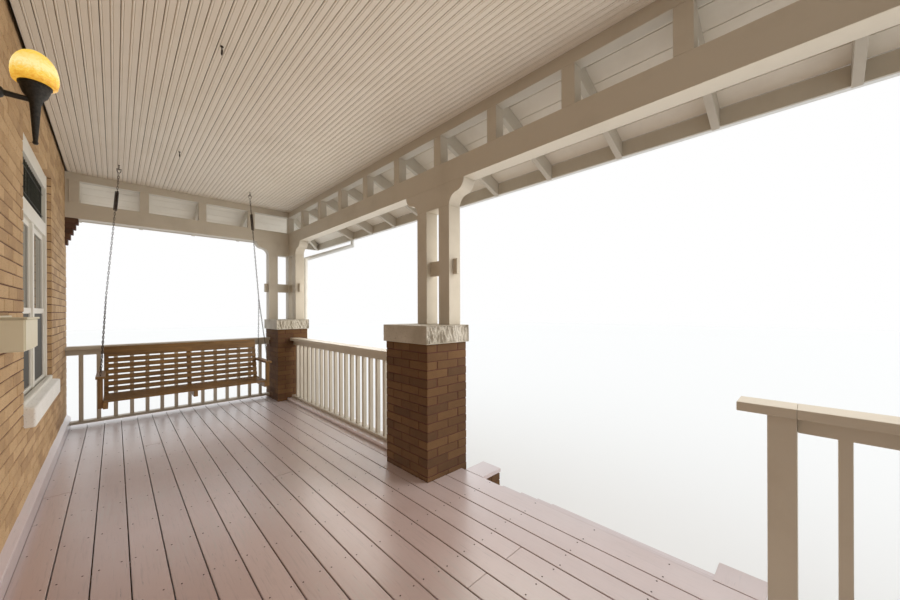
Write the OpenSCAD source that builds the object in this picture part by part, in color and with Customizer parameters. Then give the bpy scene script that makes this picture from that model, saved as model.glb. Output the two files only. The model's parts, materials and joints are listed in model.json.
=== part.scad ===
/* [Porch] */
// Length of the porch over its corner piers
porch_len = 7420; // [7000:20:8400]
// Depth from the house wall to the outer face of piers and front beam
porch_d = 2592; // [2400:4:3000]
// Height of the deck above the ground
deck_h = 780; // [600:10:1000]

/* [House wall] */
// Thickness of the brick house wall
wall_t = 250; // [200:10:300]
// Height of the wall above the top of the roof against it
wall_above = 120; // [60:10:300]
// Steps of each brick corbel under an end beam
corbel_steps = 5; // [3:1:7]
// How far a corbel stands out of the wall at its top
corbel_out = 106; // [80:1:150]
// Height of one corbel course
course_h = 61.5; // [55:0.5:72]

/* [Window] */
// Left side of the window opening, from the middle of the porch
window_x = 1056; // [800:2:1300]
// Width of the window opening
window_w = 1360; // [1000:10:1500]
// Height of the window sill's top above the deck
window_sill_h = 750; // [600:2:850]
// Height of the window opening's head above the deck
window_head_h = 2577; // [2350:1:2700]
// Height of the underside of the transom bar above the deck
transom_h = 1937; // [1750:1:2050]
// Height of the transom bar
transom_bar = 92; // [60:1:120]
// Face width of the window's outer frame
window_face = 60; // [45:1:90]
// Height of the head board over the window
window_board = 150; // [100:5:180]
// Depth of the window and door frames
frame_d = 110; // [80:5:130]
// How far the window and door frames are set back from the wall's face
frame_set = 70; // [30:5:100]
// Face width of a sash's stiles and rails
sash_face = 50; // [35:1:65]
// Thickness of a sash
sash_t = 38; // [30:1:45]
// Thickness of the glass
glass_t = 6; // [4:1:10]
// Thickness of the stone sill
sill_t = 145; // [90:5:180]
// How far the sill stands out of the wall
sill_out = 54; // [30:1:90]
// How much the sill slopes down to its front edge
sill_slope = 20; // [5:1:30]

/* [Wall lamp and mailbox] */
// Middle of the wall lamp, from the middle of the porch
lamp_x = -207; // [-300:1:-100]
// Height of the lamp's rim above the deck
lamp_rim = 2254; // [2100:2:2350]
// How far the lamp's middle stands out from the wall
lamp_out = 188; // [150:2:240]
// Radius of the lamp's glass
glass_r = 76; // [60:1:90]
// Length of the lamp's stem below its rim
stem_len = 251; // [180:1:280]
// Left side of the mailbox, from the middle of the porch
mailbox_x = 297; // [200:1:400]
// Width of the mailbox
mailbox_w = 386; // [300:2:420]
// Height of the mailbox
mailbox_h = 178; // [120:2:200]
// Height of the mailbox's underside above the deck
mailbox_h0 = 1139; // [950:1:1250]
// Depth of the mailbox
mailbox_d = 108; // [80:2:130]

/* [Front door] */
// Middle of the door, from the middle of the porch
door_x = -1259; // [-1400:1:-1100]
// Width of the door leaf
door_w = 915; // [760:5:1000]
// Height of the door leaf
door_leaf_h = 2080; // [1980:10:2150]
// Thickness of the door leaf
door_t = 45; // [40:1:60]
// Face width of the door frame
door_face = 48; // [35:1:70]
// Width of the door's stiles and top rail
door_stile = 115; // [90:1:140]
// Height of the door's sill
door_sill = 20; // [12:1:30]

/* [Deck] */
// Thickness of the deck boards
board_t = 32; // [22:1:40]
// How far the deck's front edge lies back from the piers' outer face
deck_set = 57; // [20:1:100]
// Width of the stair opening in the deck
stair_w = 1492; // [1200:4:1700]
// Gap between the middle pier and the stair
stair_gap = 236; // [100:2:300]
// Width of the boarded wing on each side of the stair
wing_w = 195; // [120:5:210]
// How far the left wing runs out past the deck's front edge
wing_left = 178; // [100:2:260]
// How far the right wing runs out past the deck's front edge
wing_right = 236; // [100:2:260]
// Thickness of the board along the foot of the house wall
wall_curb = 38; // [25:1:60]
// Height of the front face of the board along the house wall
wall_curb_h = 105; // [60:1:140]
// Rise of that board's sloping top up to the wall
wall_curb_rise = 37; // [10:1:50]
// Number of risers from the ground to the deck
risers = 5; // [4:1:6]
// Going of one tread
going = 270; // [240:2:300]
// Depth of a deck joist
joist_h = 184; // [140:2:200]
// Thickness of a deck joist
joist_t = 38; // [32:1:50]
// Spacing of the deck joists
joist_pitch = 406; // [300:2:610]
// Thickness of the brick foundation walls
found_t = 203; // [150:1:260]

/* [Piers] */
// Length of a pier, two and a half bricks
pier_w = 555; // [500:1:640]
// Depth of a pier, two bricks
pier_d = 431; // [380:1:480]
// Height of a pier's brickwork above the deck
pier_h = 1072; // [900:2:1200]
// Height of the stone cap on a pier
cap_h = 144; // [90:2:160]
// How far the stone cap stands out past the bricks
cap_out = 22; // [10:1:40]

/* [Columns and beams] */
// Width of the posts, beams and bolsters
timber = 132; // [120:1:150]
// Width over the posts of one column
column_w = 430; // [400:2:480]
// Height of the lower beam's underside above the deck
beam_h0 = 2427; // [2300:1:2500]
// Depth of the lower beam
beam_d = 185; // [150:1:210]
// Height of a bolster
bolster_h = 192; // [160:1:220]
// How far a bolster's curved end runs past the posts
bolster_out = 174; // [140:1:190]
// Height of the cross rail's underside above the deck
cross_h0 = 1650; // [1500:1:1750]
// Height of a cross rail
cross_h = 132; // [100:1:150]
// Thickness of a cross rail
cross_t = 40; // [30:1:60]
// How far a cross rail sticks out past the posts
cross_out = 46; // [30:1:70]
// How far the end beams are set back from the pier's outer face
end_set = 5; // [0:1:20]
// Width of the frieze posts and top plates
stud = 89; // [70:1:100]
// Spacing of the frieze posts and rafters along the front, from the right corner
bay = 613.8; // [590:0.2:660]
// Spacing of the frieze posts and rafters at each end
end_bay = 614.5; // [590:0.5:660]
// Height of the frieze openings
frieze_h = 252; // [180:2:300]

/* [Roof] */
// Rise of the roof for every 12 run
roof_rise = 5; // [4:0.5:6]
// Overhang of the eaves past the beams
eave_out = 708; // [600:4:800]
// Height of a rafter, measured plumb
rafter_h = 133; // [110:1:160]
// Thickness of a rafter
rafter_t = 45; // [38:1:60]
// Height of the fascia board
fascia_h = 119; // [100:1:140]
// Thickness of the fascia board
fascia_t = 20; // [15:1:30]
// Thickness of the roof boards
roof_board_t = 20; // [15:1:25]
// Thickness of the shingles
shingle_t = 14; // [10:1:25]
// How far the shingles run past the fascia
shingle_out = 24; // [10:1:40]
// Thickness of the ceiling boards
ceiling_t = 16; // [10:1:25]
// Gap between the ceiling and the house wall
ceiling_gap = 25; // [5:1:40]
// Width of the gutter
gutter_w = 110; // [90:2:130]
// Depth of the gutter
gutter_h = 80; // [60:2:100]
// Width of the downspout
spout_w = 62; // [50:1:80]

/* [Railings] */
// Height of the railing above the deck
rail_h = 938; // [800:2:1000]
// How far the front railing's middle lies in from the piers' outer face
front_rail_in = 190; // [150:2:300]
// How far the middle of the railing beside the stair lies in from the piers' outer face
stair_rail_in = 184; // [150:2:300]
// Width of the railing's cap board
cap_w = 140; // [100:2:160]
// Thickness of the railing's cap board
cap_t = 38; // [25:1:45]
// Height of the board under the cap
apron_h = 64; // [50:1:100]
// Thickness of the apron
apron_t = 38; // [30:1:50]
// Width of the bottom rail
foot_w = 89; // [70:1:110]
// Height of the bottom rail
foot_h = 30; // [25:1:50]
// Height of the curb board that the bottom rail lies on
curb_h = 38; // [25:1:50]
// Width of the curb board
curb_w = 222; // [140:2:260]
// Width of a baluster
baluster = 38; // [30:1:45]
// Clear gap between two balusters
baluster_gap = 104; // [80:1:110]
// Width of the newel post
newel_w = 89; // [80:1:110]
// Gap between the newel post and the stair
newel_gap = 213; // [160:1:240]
// How far the newel's cap runs on towards the stair
newel_cap = 96; // [60:2:120]

/* [Porch swing] */
// Distance of the ceiling hooks from the middle of the porch
swing_x = 2940; // [2700:2:3060]
// Distance of the swing's middle from the house wall
swing_d = 1096; // [1000:2:1200]
// Half the distance between the two ceiling hooks
hook_half = 645; // [500:1:720]
// Distance of the two spare hooks from the house wall
spare_hook_d = 890; // [800:2:1000]
// Width of the swing's seat and back
seat_w = 1544; // [1300:2:1640]
// Depth of the seat
seat_depth = 480; // [420:2:540]
// Height of the seat above the deck
seat_h = 430; // [380:2:480]
// Height of the top of the swing's back above the deck
back_h = 940; // [840:2:1000]
// Lean of the swing's back, in degrees
back_lean = 13; // [8:1:16]
// Height of the arms above the deck
arm_h = 680; // [600:2:760]
// Width of an arm
arm_w = 70; // [50:1:90]
// Thickness of the swing's frames
frame_t = 38; // [30:1:50]
// Width of a seat slat
slat_w = 50; // [40:1:60]
// Thickness of a slat
slat_t = 18; // [12:1:25]
// Height of the ring where each chain splits, above the deck
split_h = 1504; // [1300:2:1600]
// Distance from a hook down to its coil spring
spring_drop = 253; // [150:1:320]
// Length of a coil spring
spring_len = 208; // [150:2:250]

/* [Hidden] */
$fn = 32;

brick = "#a07c58";
trim = "#ded6c8";
deck_paint = "#b08c84";
stone = "#cfcac0";
iron = "#2b2724";
wood = "#7d5a33";
roofing = "#6f6a66";

half = porch_len / 2;
face_y = -wall_t / 2;
pier_x = half - pier_w / 2;
pier_in = porch_d - pier_d;
beam_x = half - end_set;
beam_h1 = beam_h0 + beam_d;
plate_h0 = beam_h1 + frieze_h;
plate_h1 = plate_h0 + stud;
post_h0 = pier_h + cap_h;
bolster_h0 = beam_h0 - bolster_h;
front_in = porch_d - timber;
end_in = beam_x - timber;
eave_d = porch_d + eave_out;
eave_x = beam_x + eave_out;
slope = roof_rise / 12;
// Height of the rafters' top edge over the beam's outer face, above the top plate
rafter_over_plate = 6;
// Height of the rafters' top edge above the deck, at the eave and at a distance in from it
rafter_top0 = plate_h1 + rafter_over_plate - slope * eave_out;
function rafter_top(run) = rafter_top0 + slope * run;
ridge_h = rafter_top(eave_d);
ridge_x = eave_x - eave_d;
// Small clearances between neighbouring solids
seat_gap = 0.3;
hip_gap = 2;

// A straight block given by its ranges along the porch, out from the wall, and above the deck
module block(x, d, h) {
    translate([x[0], face_y - d[1], deck_h + h[0]])
        cube([x[1] - x[0], d[1] - d[0], h[1] - h[0]]);
}
// A point given along the porch, out from the wall, and above the deck
function at(x, d, h) = [x, face_y - d, deck_h + h];
// A profile drawn as [out from the wall, above the deck], run along the porch
module along_porch(x0, x1) {
    translate([x0, face_y, deck_h]) mirror([0, 1, 0]) rotate([90, 0, 90])
        linear_extrude(x1 - x0) children();
}
// A profile drawn as [along the porch, above the deck], run out from the wall
module out_from_wall(d0, d1) {
    translate([0, face_y - d0, deck_h]) rotate([90, 0, 0])
        linear_extrude(d1 - d0) children();
}
// A round bar between two points
module bar(p, q, r) {
    v = q - p;
    turn = atan2(v[1], v[0]);
    lean = acos(v[2] / norm(v));
    translate(p) rotate([0, lean, turn]) cylinder(h = norm(v), r = r);
}
module both_ends() {
    children();
    mirror([1, 0, 0]) children();
}

/* House wall, window, door and what hangs on the wall */
window_x1 = window_x + window_w;
door_gap = 3;
door_half = door_w / 2 + door_face + door_gap;
door_head = door_leaf_h + 2 * door_gap;
function inside_wall(set, depth) = [-set - depth, -set];

module house_wall() {
    color(brick) difference() {
        translate([-half, -wall_t / 2, 0])
            cube([porch_len, wall_t, deck_h + ridge_h + wall_above]);
        block([window_x, window_x1], [-wall_t - 1, 1], [window_sill_h - sill_t, window_head_h]);
        block([door_x - door_half, door_x + door_half], [-wall_t - 1, 1], [0, window_head_h]);
    }
}
module wall_corbels() {
    color(brick) both_ends() for (i = [0:corbel_steps - 1])
        block([end_in, beam_x], [0, corbel_out * (corbel_steps - i) / corbel_steps],
              [beam_h0 - (i + 1) * course_h, beam_h0 - i * course_h]);
}
module window_sill() {
    foot = window_sill_h - sill_t;
    color(stone) along_porch(window_x, window_x1) polygon([
        [-wall_t, foot], [sill_out, foot], [sill_out, window_sill_h - sill_slope],
        [-frame_set, window_sill_h], [-wall_t, window_sill_h]]);
}
mid_x = (window_x + window_x1) / 2;
light_x = [[window_x + window_face, mid_x - window_face / 2],
           [mid_x + window_face / 2, window_x1 - window_face]];
transom_top = window_head_h - window_board;
lower_top = transom_h;
meet_h = (window_sill_h + window_face / 2 + lower_top) / 2;
module window_frame() {
    color(trim) difference() {
        block([window_x, window_x1], inside_wall(frame_set, frame_d), [window_sill_h, window_head_h]);
        block([window_x + window_face, window_x1 - window_face], [-wall_t - 1, 1],
              [transom_h + transom_bar, transom_top]);
        for (lx = light_x)
            block(lx, [-wall_t - 1, 1], [window_sill_h + window_face / 2, lower_top]);
    }
}
module sash(lx, d0, h0, h1) {
    difference() {
        block([lx[0] + seat_gap, lx[1] - seat_gap], [d0 - sash_t, d0], [h0 + seat_gap, h1 - seat_gap]);
        block([lx[0] + sash_face, lx[1] - sash_face], [d0 - sash_t - 1, d0 + 1],
              [h0 + sash_face, h1 - sash_face]);
    }
}
sash_set = 12;
outer_sash = -frame_set - sash_set;
inner_sash = outer_sash - sash_t - seat_gap;
module window_sashes() {
    color(trim) {
        for (lx = light_x) {
            sash(lx, outer_sash, meet_h - sash_face / 2, lower_top);
            sash(lx, inner_sash, window_sill_h + window_face / 2, meet_h + sash_face / 2);
        }
        sash([window_x + window_face, window_x1 - window_face], outer_sash,
             transom_h + transom_bar, transom_top);
    }
}
module pane(lx, d0, h0, h1) {
    block([lx[0] + sash_face, lx[1] - sash_face],
          [d0 - (sash_t + glass_t) / 2, d0 - (sash_t - glass_t) / 2],
          [h0 + sash_face, h1 - sash_face]);
}
module window_glass() {
    color("lightsteelblue", 0.5) {
        for (lx = light_x) {
            pane(lx, outer_sash, meet_h - sash_face / 2, lower_top);
            pane(lx, inner_sash, window_sill_h + window_face / 2, meet_h + sash_face / 2);
        }
        pane([window_x + window_face, window_x1 - window_face], outer_sash,
             transom_h + transom_bar, transom_top);
        block([door_x - door_half + door_face, door_x + door_half - door_face],
              inside_wall(frame_set + frame_d / 2, glass_t),
              [door_head + door_face, window_head_h - door_face]);
    }
}
module door_frame() {
    color(trim) difference() {
        block([door_x - door_half, door_x + door_half], inside_wall(frame_set, frame_d),
              [0, window_head_h]);
        block([door_x - door_half + door_face, door_x + door_half - door_face], [-wall_t - 1, 1],
              [door_sill, door_head]);
        block([door_x - door_half + door_face, door_x + door_half - door_face], [-wall_t - 1, 1],
              [door_head + door_face, window_head_h - door_face]);
    }
}
module front_door() {
    leaf = [door_x - door_w / 2, door_x + door_w / 2];
    face = -frame_set - door_leaf_set;
    sunk = [face - panel_sunk, face + 1];
    panel_w = (door_w - 3 * door_stile) / 2;
    color(wood) difference() {
        block(leaf, [face - door_t, face], [door_sill + seat_gap, door_leaf_h]);
        for (x = [leaf[0] + door_stile, leaf[1] - door_stile - panel_w])
            block([x, x + panel_w], sunk, [2 * door_stile, lock_rail - door_stile / 2]);
        block([leaf[0] + door_stile, leaf[1] - door_stile], sunk,
              [lock_rail + door_stile / 2, door_leaf_h - door_stile]);
    }
    color(iron) translate(at(leaf[1] - door_stile / 2, face, knob_h)) rotate([90, 0, 0]) {
        cylinder(h = 40, r = 11);
        translate([0, 0, 40]) sphere(r = 28);
    }
}
door_leaf_set = 20;
panel_sunk = 12;
lock_rail = 1240;
knob_h = 990;
module mailbox() {
    color("#e6dcc4") block([mailbox_x, mailbox_x + mailbox_w], [0, mailbox_d],
                           [mailbox_h0, mailbox_h0 + mailbox_h]);
}
// The lamp's cup from its stem's tip up to the rim, drawn as [radius, height over the rim]
cup_h = 58;
cup_profile = [[0, -stem_len], [6, -stem_len], [13, 18 - stem_len], [8, 35 - stem_len], [18, -cup_h - 45],
               [22, -cup_h], [16, 8 - cup_h], [glass_r - 12, -14], [glass_r + 3, 0], [0, 0]];
module lamp_bracket() {
    color(iron) translate(at(lamp_x, 0, lamp_rim)) {
        translate([0, 0, -cup_h - 12]) rotate([90, 0, 0]) {
            cylinder(h = 14, r = 55);
            cylinder(h = lamp_out, r = 10);
            translate([0, 0, lamp_out * 0.45]) sphere(r = 24);
        }
        translate([0, -lamp_out, 0]) rotate_extrude() polygon(cup_profile);
    }
}
module lamp_shade() {
    glass = 4;
    tall = 1.4;
    color("orange") translate(at(lamp_x, lamp_out, lamp_rim + seat_gap)) rotate_extrude() difference() {
        intersection() {
            scale([1, tall]) circle(r = glass_r);
            square(tall * glass_r);
        }
        scale([1, tall]) circle(r = glass_r - glass);
    }
}

/* Foundation, deck and stair */
stair_x1 = -pier_w / 2 - stair_gap;
stair_x0 = stair_x1 - stair_w;
deck_front = porch_d - deck_set;
rise = deck_h / risers;
riser_t = 19;
tread_nose = 22;
// Back of the stair, where its top riser stands against the foundation
stair_d0 = deck_front - tread_nose - riser_t;
found_front = stair_d0;
pier_places = [-pier_x, 0, pier_x];
module foundation_wall(x) {
    block([x[0] + seat_gap, x[1] - seat_gap], [found_front - found_t, found_front], [-deck_h, -board_t]);
}
// A low wall that carries a wing beside the stair
module cheek_wall(x, wing) {
    block(x, [found_front - 1, deck_front + wing - tread_nose], [-deck_h, -board_t]);
}
module foundation_walls() {
    color(brick) {
        both_ends() block([half - found_t, half], [seat_gap, pier_in - seat_gap], [-deck_h, -board_t]);
        foundation_wall([pier_w / 2, pier_x - pier_w / 2]);
        foundation_wall([pier_w / 2 - pier_x, -pier_w / 2]);
        cheek_wall([stair_x0 - wing_w + tread_nose, stair_x0 - seat_gap], wing_left);
        cheek_wall([stair_x1 + seat_gap, stair_x1 + wing_w - tread_nose], wing_right);
    }
}
function near(x, places, reach) = len([for (p = places) if (abs(x - p) < reach) 1]) > 0;
// Where a joist ends: at a pier or at the front wall
function joist_end(x) = near(x, pier_places, pier_w / 2 + joist_t) ? pier_in : found_front - found_t;
module deck_joists() {
    n = floor((porch_len - 2 * found_t - joist_t) / joist_pitch);
    first = (porch_len - 2 * found_t - joist_t - n * joist_pitch) / 2;
    color("#b9a184") for (i = [0:n]) let (x = -half + found_t + first + i * joist_pitch)
        block([x, x + joist_t], [seat_gap, joist_end(x + joist_t / 2) - seat_gap],
              [-board_t - joist_h, -board_t]);
}
newel_x = stair_x0 - newel_gap - newel_w;
front_rail_d = porch_d - front_rail_in;
stair_rail_d = porch_d - stair_rail_in;
// A curb board under a railing
module curb(x0, x1, rail_d) {
    block([x0, x1], [rail_d - curb_w / 2, rail_d + curb_w / 2], [seat_gap, curb_h]);
}
// The board along the foot of the house wall, its top sloping up to the bricks
module wall_board(x0, x1) {
    along_porch(x0, x1) polygon([
        [0, seat_gap], [wall_curb, seat_gap], [wall_curb, wall_curb_h], [0, wall_curb_h + wall_curb_rise]]);
}
module deck_boards() {
    color(deck_paint) {
        plank_deck();
        curb(pier_w / 2 + seat_gap, pier_x - pier_w / 2 - seat_gap, front_rail_d);
        curb(pier_w / 2 + seat_gap - pier_x, newel_x - seat_gap, stair_rail_d);
        wall_board(-half, door_x - door_half);
        wall_board(door_x + door_half, half);
    }
}
module plank_deck() {
    difference() {
        block([-half, half], [0, deck_front], [-board_t, 0]);
        for (x = pier_places)
            block([x - pier_w / 2 - seat_gap, x + pier_w / 2 + seat_gap],
                  [pier_in - seat_gap, deck_front + 1], [-board_t - 1, 1]);
    }
    block([stair_x0 - wing_w, stair_x0], [deck_front - 1, deck_front + wing_left], [-board_t, 0]);
    block([stair_x1, stair_x1 + wing_w], [deck_front - 1, deck_front + wing_right], [-board_t, 0]);
}
string_t = 38;
string_throat = 300;
string_in = 20;
module stair_stringers() {
    last = risers - 1;
    back = stair_d0 + seat_gap;
    seats = [for (i = [1:last]) each [
        [stair_d0 + going * i, -rise * i - board_t],
        [stair_d0 + going * i, i < last ? -rise * (i + 1) - board_t : -deck_h]]];
    under = -rise - board_t - string_throat;
    places = [stair_x0 + string_in, (stair_x0 + stair_x1 - string_t) / 2, stair_x1 - string_in - string_t];
    color(trim) for (x = places)
        along_porch(x, x + string_t) polygon(concat([[back, -rise - board_t]], seats,
            [[stair_d0 + (deck_h + under) * going / rise, -deck_h], [back, under]]));
}
module stair_treads() {
    color(deck_paint) for (i = [1:risers - 1])
        block([stair_x0 + seat_gap, stair_x1 - seat_gap],
              [stair_d0 + going * (i - 1) + riser_t, stair_d0 + going * i + riser_t + tread_nose],
              [-rise * i - board_t, -rise * i]);
}
module stair_risers() {
    color(trim) for (i = [0:risers - 1]) let (foot = i < risers - 1 ? -rise * (i + 1) - board_t : -deck_h)
        block([stair_x0 + seat_gap, stair_x1 - seat_gap],
              [stair_d0 + going * i + seat_gap, stair_d0 + going * i + riser_t - seat_gap],
              [foot, -rise * i - board_t]);
}

/* Piers, columns, beams and frieze */
module brick_piers() {
    color(brick) for (x = pier_places)
        block([x - pier_w / 2, x + pier_w / 2], [pier_in, porch_d], [-deck_h, pier_h]);
}
module pier_caps() {
    color(stone) for (x = pier_places)
        block([x - pier_w / 2 - cap_out, x + pier_w / 2 + cap_out], [pier_in - cap_out, porch_d + cap_out],
              [pier_h, post_h0]);
}
cross_d = porch_d - timber / 2;
module columns() {
    posts = [post_h0, bolster_h0];
    cross = [cross_h0, cross_h0 + cross_h];
    color(trim) {
        for (s = [-1, 1]) let (x = s * (column_w - timber) / 2)
            block([x - timber / 2, x + timber / 2], [front_in, porch_d], posts);
        block([-column_w / 2 - cross_out, column_w / 2 + cross_out],
              [cross_d - cross_t / 2, cross_d + cross_t / 2], cross);
        both_ends() {
            block([end_in, beam_x], [front_in, porch_d], posts);
            block([beam_x - column_w, beam_x - column_w + timber], [front_in, porch_d], posts);
            block([end_in, beam_x], [porch_d - column_w, porch_d - column_w + timber], posts);
            block([beam_x - column_w - cross_out, beam_x - timber / 2],
                  [cross_d - cross_t / 2, cross_d + cross_t / 2], cross);
            block([beam_x - timber / 2 - cross_t / 2, beam_x - timber / 2 + cross_t / 2],
                  [porch_d - column_w - cross_out, cross_d], cross);
        }
    }
}
// One curved end of a bolster: a round nose over a hollow, from the post's face outward
ogee_turn = 2 * atan2(bolster_out, bolster_h);
ogee_r = bolster_h / 2 / sin(ogee_turn);
ogee_steps = 7;
function ogee(steps) = concat(
    [for (i = [0:steps]) let (a = ogee_turn * i / steps)
        [ogee_r * (1 - cos(a)), ogee_r * sin(a)]],
    [for (i = [steps - 1:-1:0]) let (a = ogee_turn * i / steps)
        [bolster_out - ogee_r * (1 - cos(a)), bolster_h - ogee_r * sin(a)]]);
module ogee_end() {
    polygon(concat([[-1, 0]], ogee(ogee_steps), [[-1, bolster_h]]));
}
module bolsters() {
    color(trim) {
        out_from_wall(front_in, porch_d) translate([0, bolster_h0]) {
            square_x = column_w / 2;
            translate([-square_x, 0]) square([column_w, bolster_h]);
            translate([square_x, 0]) ogee_end();
            translate([-square_x, 0]) mirror([1, 0]) ogee_end();
        }
        both_ends() {
            out_from_wall(front_in, porch_d) translate([beam_x - column_w, bolster_h0]) {
                square([column_w, bolster_h]);
                mirror([1, 0]) ogee_end();
            }
            along_porch(end_in, beam_x) translate([porch_d - column_w, bolster_h0]) {
                square([column_w - timber, bolster_h]);
                mirror([1, 0]) ogee_end();
            }
        }
    }
}
module front_beam() {
    color(trim) block([-beam_x, beam_x], [front_in, porch_d], [beam_h0, beam_h1]);
}
module end_beams() {
    color(trim) both_ends() block([end_in, beam_x], [seat_gap, front_in], [beam_h0, beam_h1]);
}
// Where the frieze posts and rafters stand, along the front and out from the wall
corner_x = end_in + stud / 2;
post_x = [for (i = [1:floor(2 * end_in / bay)]) corner_x - i * bay];
first_post_d = 32;
post_d = [for (i = [0:floor((front_in - first_post_d - stud) / end_bay)]) first_post_d + i * end_bay];
module frieze_posts() {
    posts = [beam_h1, plate_h0];
    color(trim) {
        for (x = post_x) block([x - stud / 2, x + stud / 2], [front_in, front_in + stud], posts);
        both_ends() {
            block([end_in, end_in + stud], [front_in, front_in + stud], posts);
            for (d = post_d) block([end_in, end_in + stud], [d, d + stud], posts);
        }
    }
}
module front_plate() {
    color(trim) block([-end_in - stud, end_in + stud], [front_in, front_in + stud], [plate_h0, plate_h1]);
}
module end_plates() {
    color(trim) both_ends() block([end_in, end_in + stud], [seat_gap, front_in], [plate_h0, plate_h1]);
}
// How far the ceiling boards rest on the top plates
ceiling_lap = 20;
module ceiling() {
    color("#cbbfae")
        block([-end_in - ceiling_lap, end_in + ceiling_lap], [ceiling_gap, front_in + ceiling_lap],
              [plate_h1 + seat_gap, plate_h1 + ceiling_t]);
}

/* Roof */
// A layer of the hipped roof between two heights over the rafters, cut upright along the hips
module roof_layer(t0, t1, out, gap) {
    front = eave_d + out;
    side = eave_x + out;
    function z(run, t) = rafter_top(run) + t;
    intersection() {
        along_porch(-side, side) polygon([
            [front, z(-out, t0)], [front, z(-out, t1)], [seat_gap, z(eave_d, t1)], [seat_gap, z(eave_d, t0)]]);
        translate([0, 0, deck_h]) linear_extrude(ridge_h * 1.2) polygon([
            [-side + gap, face_y - front], [side - gap, face_y - front],
            [ridge_x - gap, face_y], [-ridge_x + gap, face_y]]);
    }
    both_ends() intersection() {
        out_from_wall(seat_gap, front) polygon([
            [side, z(-out, t0)], [side, z(-out, t1)], [ridge_x, z(eave_d, t1)], [ridge_x, z(eave_d, t0)]]);
        translate([0, 0, deck_h]) linear_extrude(ridge_h * 1.2) polygon([
            [side, face_y - front], [side + 1, face_y - front], [side + 1, face_y], [ridge_x, face_y]]);
    }
}
module roof_boards() {
    color(trim) roof_layer(seat_gap, roof_board_t, 0, hip_gap);
}
roof_top = roof_board_t + shingle_t;
module shingles() {
    color(roofing) roof_layer(roof_board_t + seat_gap, roof_top, shingle_out, hip_gap);
}
module hip_caps() {
    cap_half = 110;
    far = eave_d + shingle_out;
    color(roofing) intersection() {
        roof_layer(roof_top + seat_gap, roof_top + shingle_t, shingle_out, 0);
        both_ends() translate([0, 0, deck_h]) linear_extrude(ridge_h * 1.2) polygon([
            [ridge_x + cap_half, face_y], [ridge_x - cap_half, face_y],
            [ridge_x - cap_half + far, face_y - far], [ridge_x + far, face_y - far],
            [ridge_x + far, face_y - far + cap_half]]);
    }
}
// What the top plate and the ceiling take out of a rafter, as [run out from the wall, height]
module plate_notch(plate_in) {
    deep = 2000;
    translate([plate_in + stud + seat_gap - deep, plate_h1 + seat_gap - deep]) square(deep);
    translate([plate_in + ceiling_lap + seat_gap - deep, plate_h1 + ceiling_t + seat_gap - deep]) square(deep);
}
module rafter_shape(run_in, run_out, plate_in) {
    top_in = rafter_top(run_out - run_in);
    difference() {
        polygon([[run_out, rafter_top(0) - rafter_h], [run_out, rafter_top(0)],
                 [run_in, top_in], [run_in, top_in - rafter_h]]);
        plate_notch(plate_in);
    }
}
// How far a rafter stops short of the hip's middle line, to lie against the hip rafter
hip_clear = rafter_t * (0.5 + sqrt(0.5)) + seat_gap;
module rafters() {
    color(trim) {
        for (x = post_x) let (d_in = max(seat_gap, abs(x) - ridge_x + hip_clear))
            along_porch(x - rafter_t / 2, x + rafter_t / 2) rafter_shape(d_in, eave_d, front_in);
        for (d = post_d) let (mid = d + stud / 2)
            both_ends() out_from_wall(mid - rafter_t / 2, mid + rafter_t / 2)
                rafter_shape(ridge_x + mid + hip_clear, eave_x, end_in);
    }
}
hip_drop = 8;
module hip_rafters() {
    // Drawn along the hip in plan, measured inward from the eave's corner
    length = (eave_d - rafter_t) * sqrt(2);
    start = rafter_t / sqrt(2);
    function inward(x) = (eave_x - x) * sqrt(2) - rafter_t / 2 - seat_gap;
    function top(run) = rafter_top(run / sqrt(2)) - hip_drop;
    color(trim) both_ends() translate(at(eave_x, eave_d, 0)) rotate([90, 0, 135])
        translate([0, 0, -rafter_t / 2]) linear_extrude(rafter_t) difference() {
            polygon([[start, top(start) - rafter_h + hip_drop], [start, top(start)],
                     [length, top(length)], [length, top(length) - rafter_h + hip_drop]]);
            translate([inward(end_in + stud), 0]) square([length, plate_h1 + seat_gap]);
            translate([inward(end_in + ceiling_lap), 0]) square([length, plate_h1 + ceiling_t + seat_gap]);
        }
}
fascia_h1 = rafter_top(0);
fascia_h0 = fascia_h1 - fascia_h;
module fascia() {
    color(trim) {
        block([-eave_x, eave_x], [eave_d + seat_gap, eave_d + fascia_t], [fascia_h0, fascia_h1]);
        both_ends()
            block([eave_x + seat_gap, eave_x + fascia_t], [seat_gap, eave_d + fascia_t], [fascia_h0, fascia_h1]);
    }
}
gutter_drop = 18;
module gutter() {
    sheet = 3;
    d0 = eave_d + fascia_t + seat_gap;
    floor_w = gutter_w * 0.72;
    bend = [gutter_w * 0.85, gutter_h * 0.55];
    color("white") along_porch(-eave_x, eave_x) translate([d0, fascia_h0 + gutter_drop]) difference() {
        polygon([[0, 0], [floor_w, 0], bend, [gutter_w, gutter_h], [0, gutter_h]]);
        polygon([[sheet, sheet], [floor_w - sheet, sheet], bend - [sheet, 0],
                 [gutter_w - sheet, gutter_h + 1], [sheet, gutter_h + 1]]);
    }
}
outlet_x = 3150;
drop_x = 3350;
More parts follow.
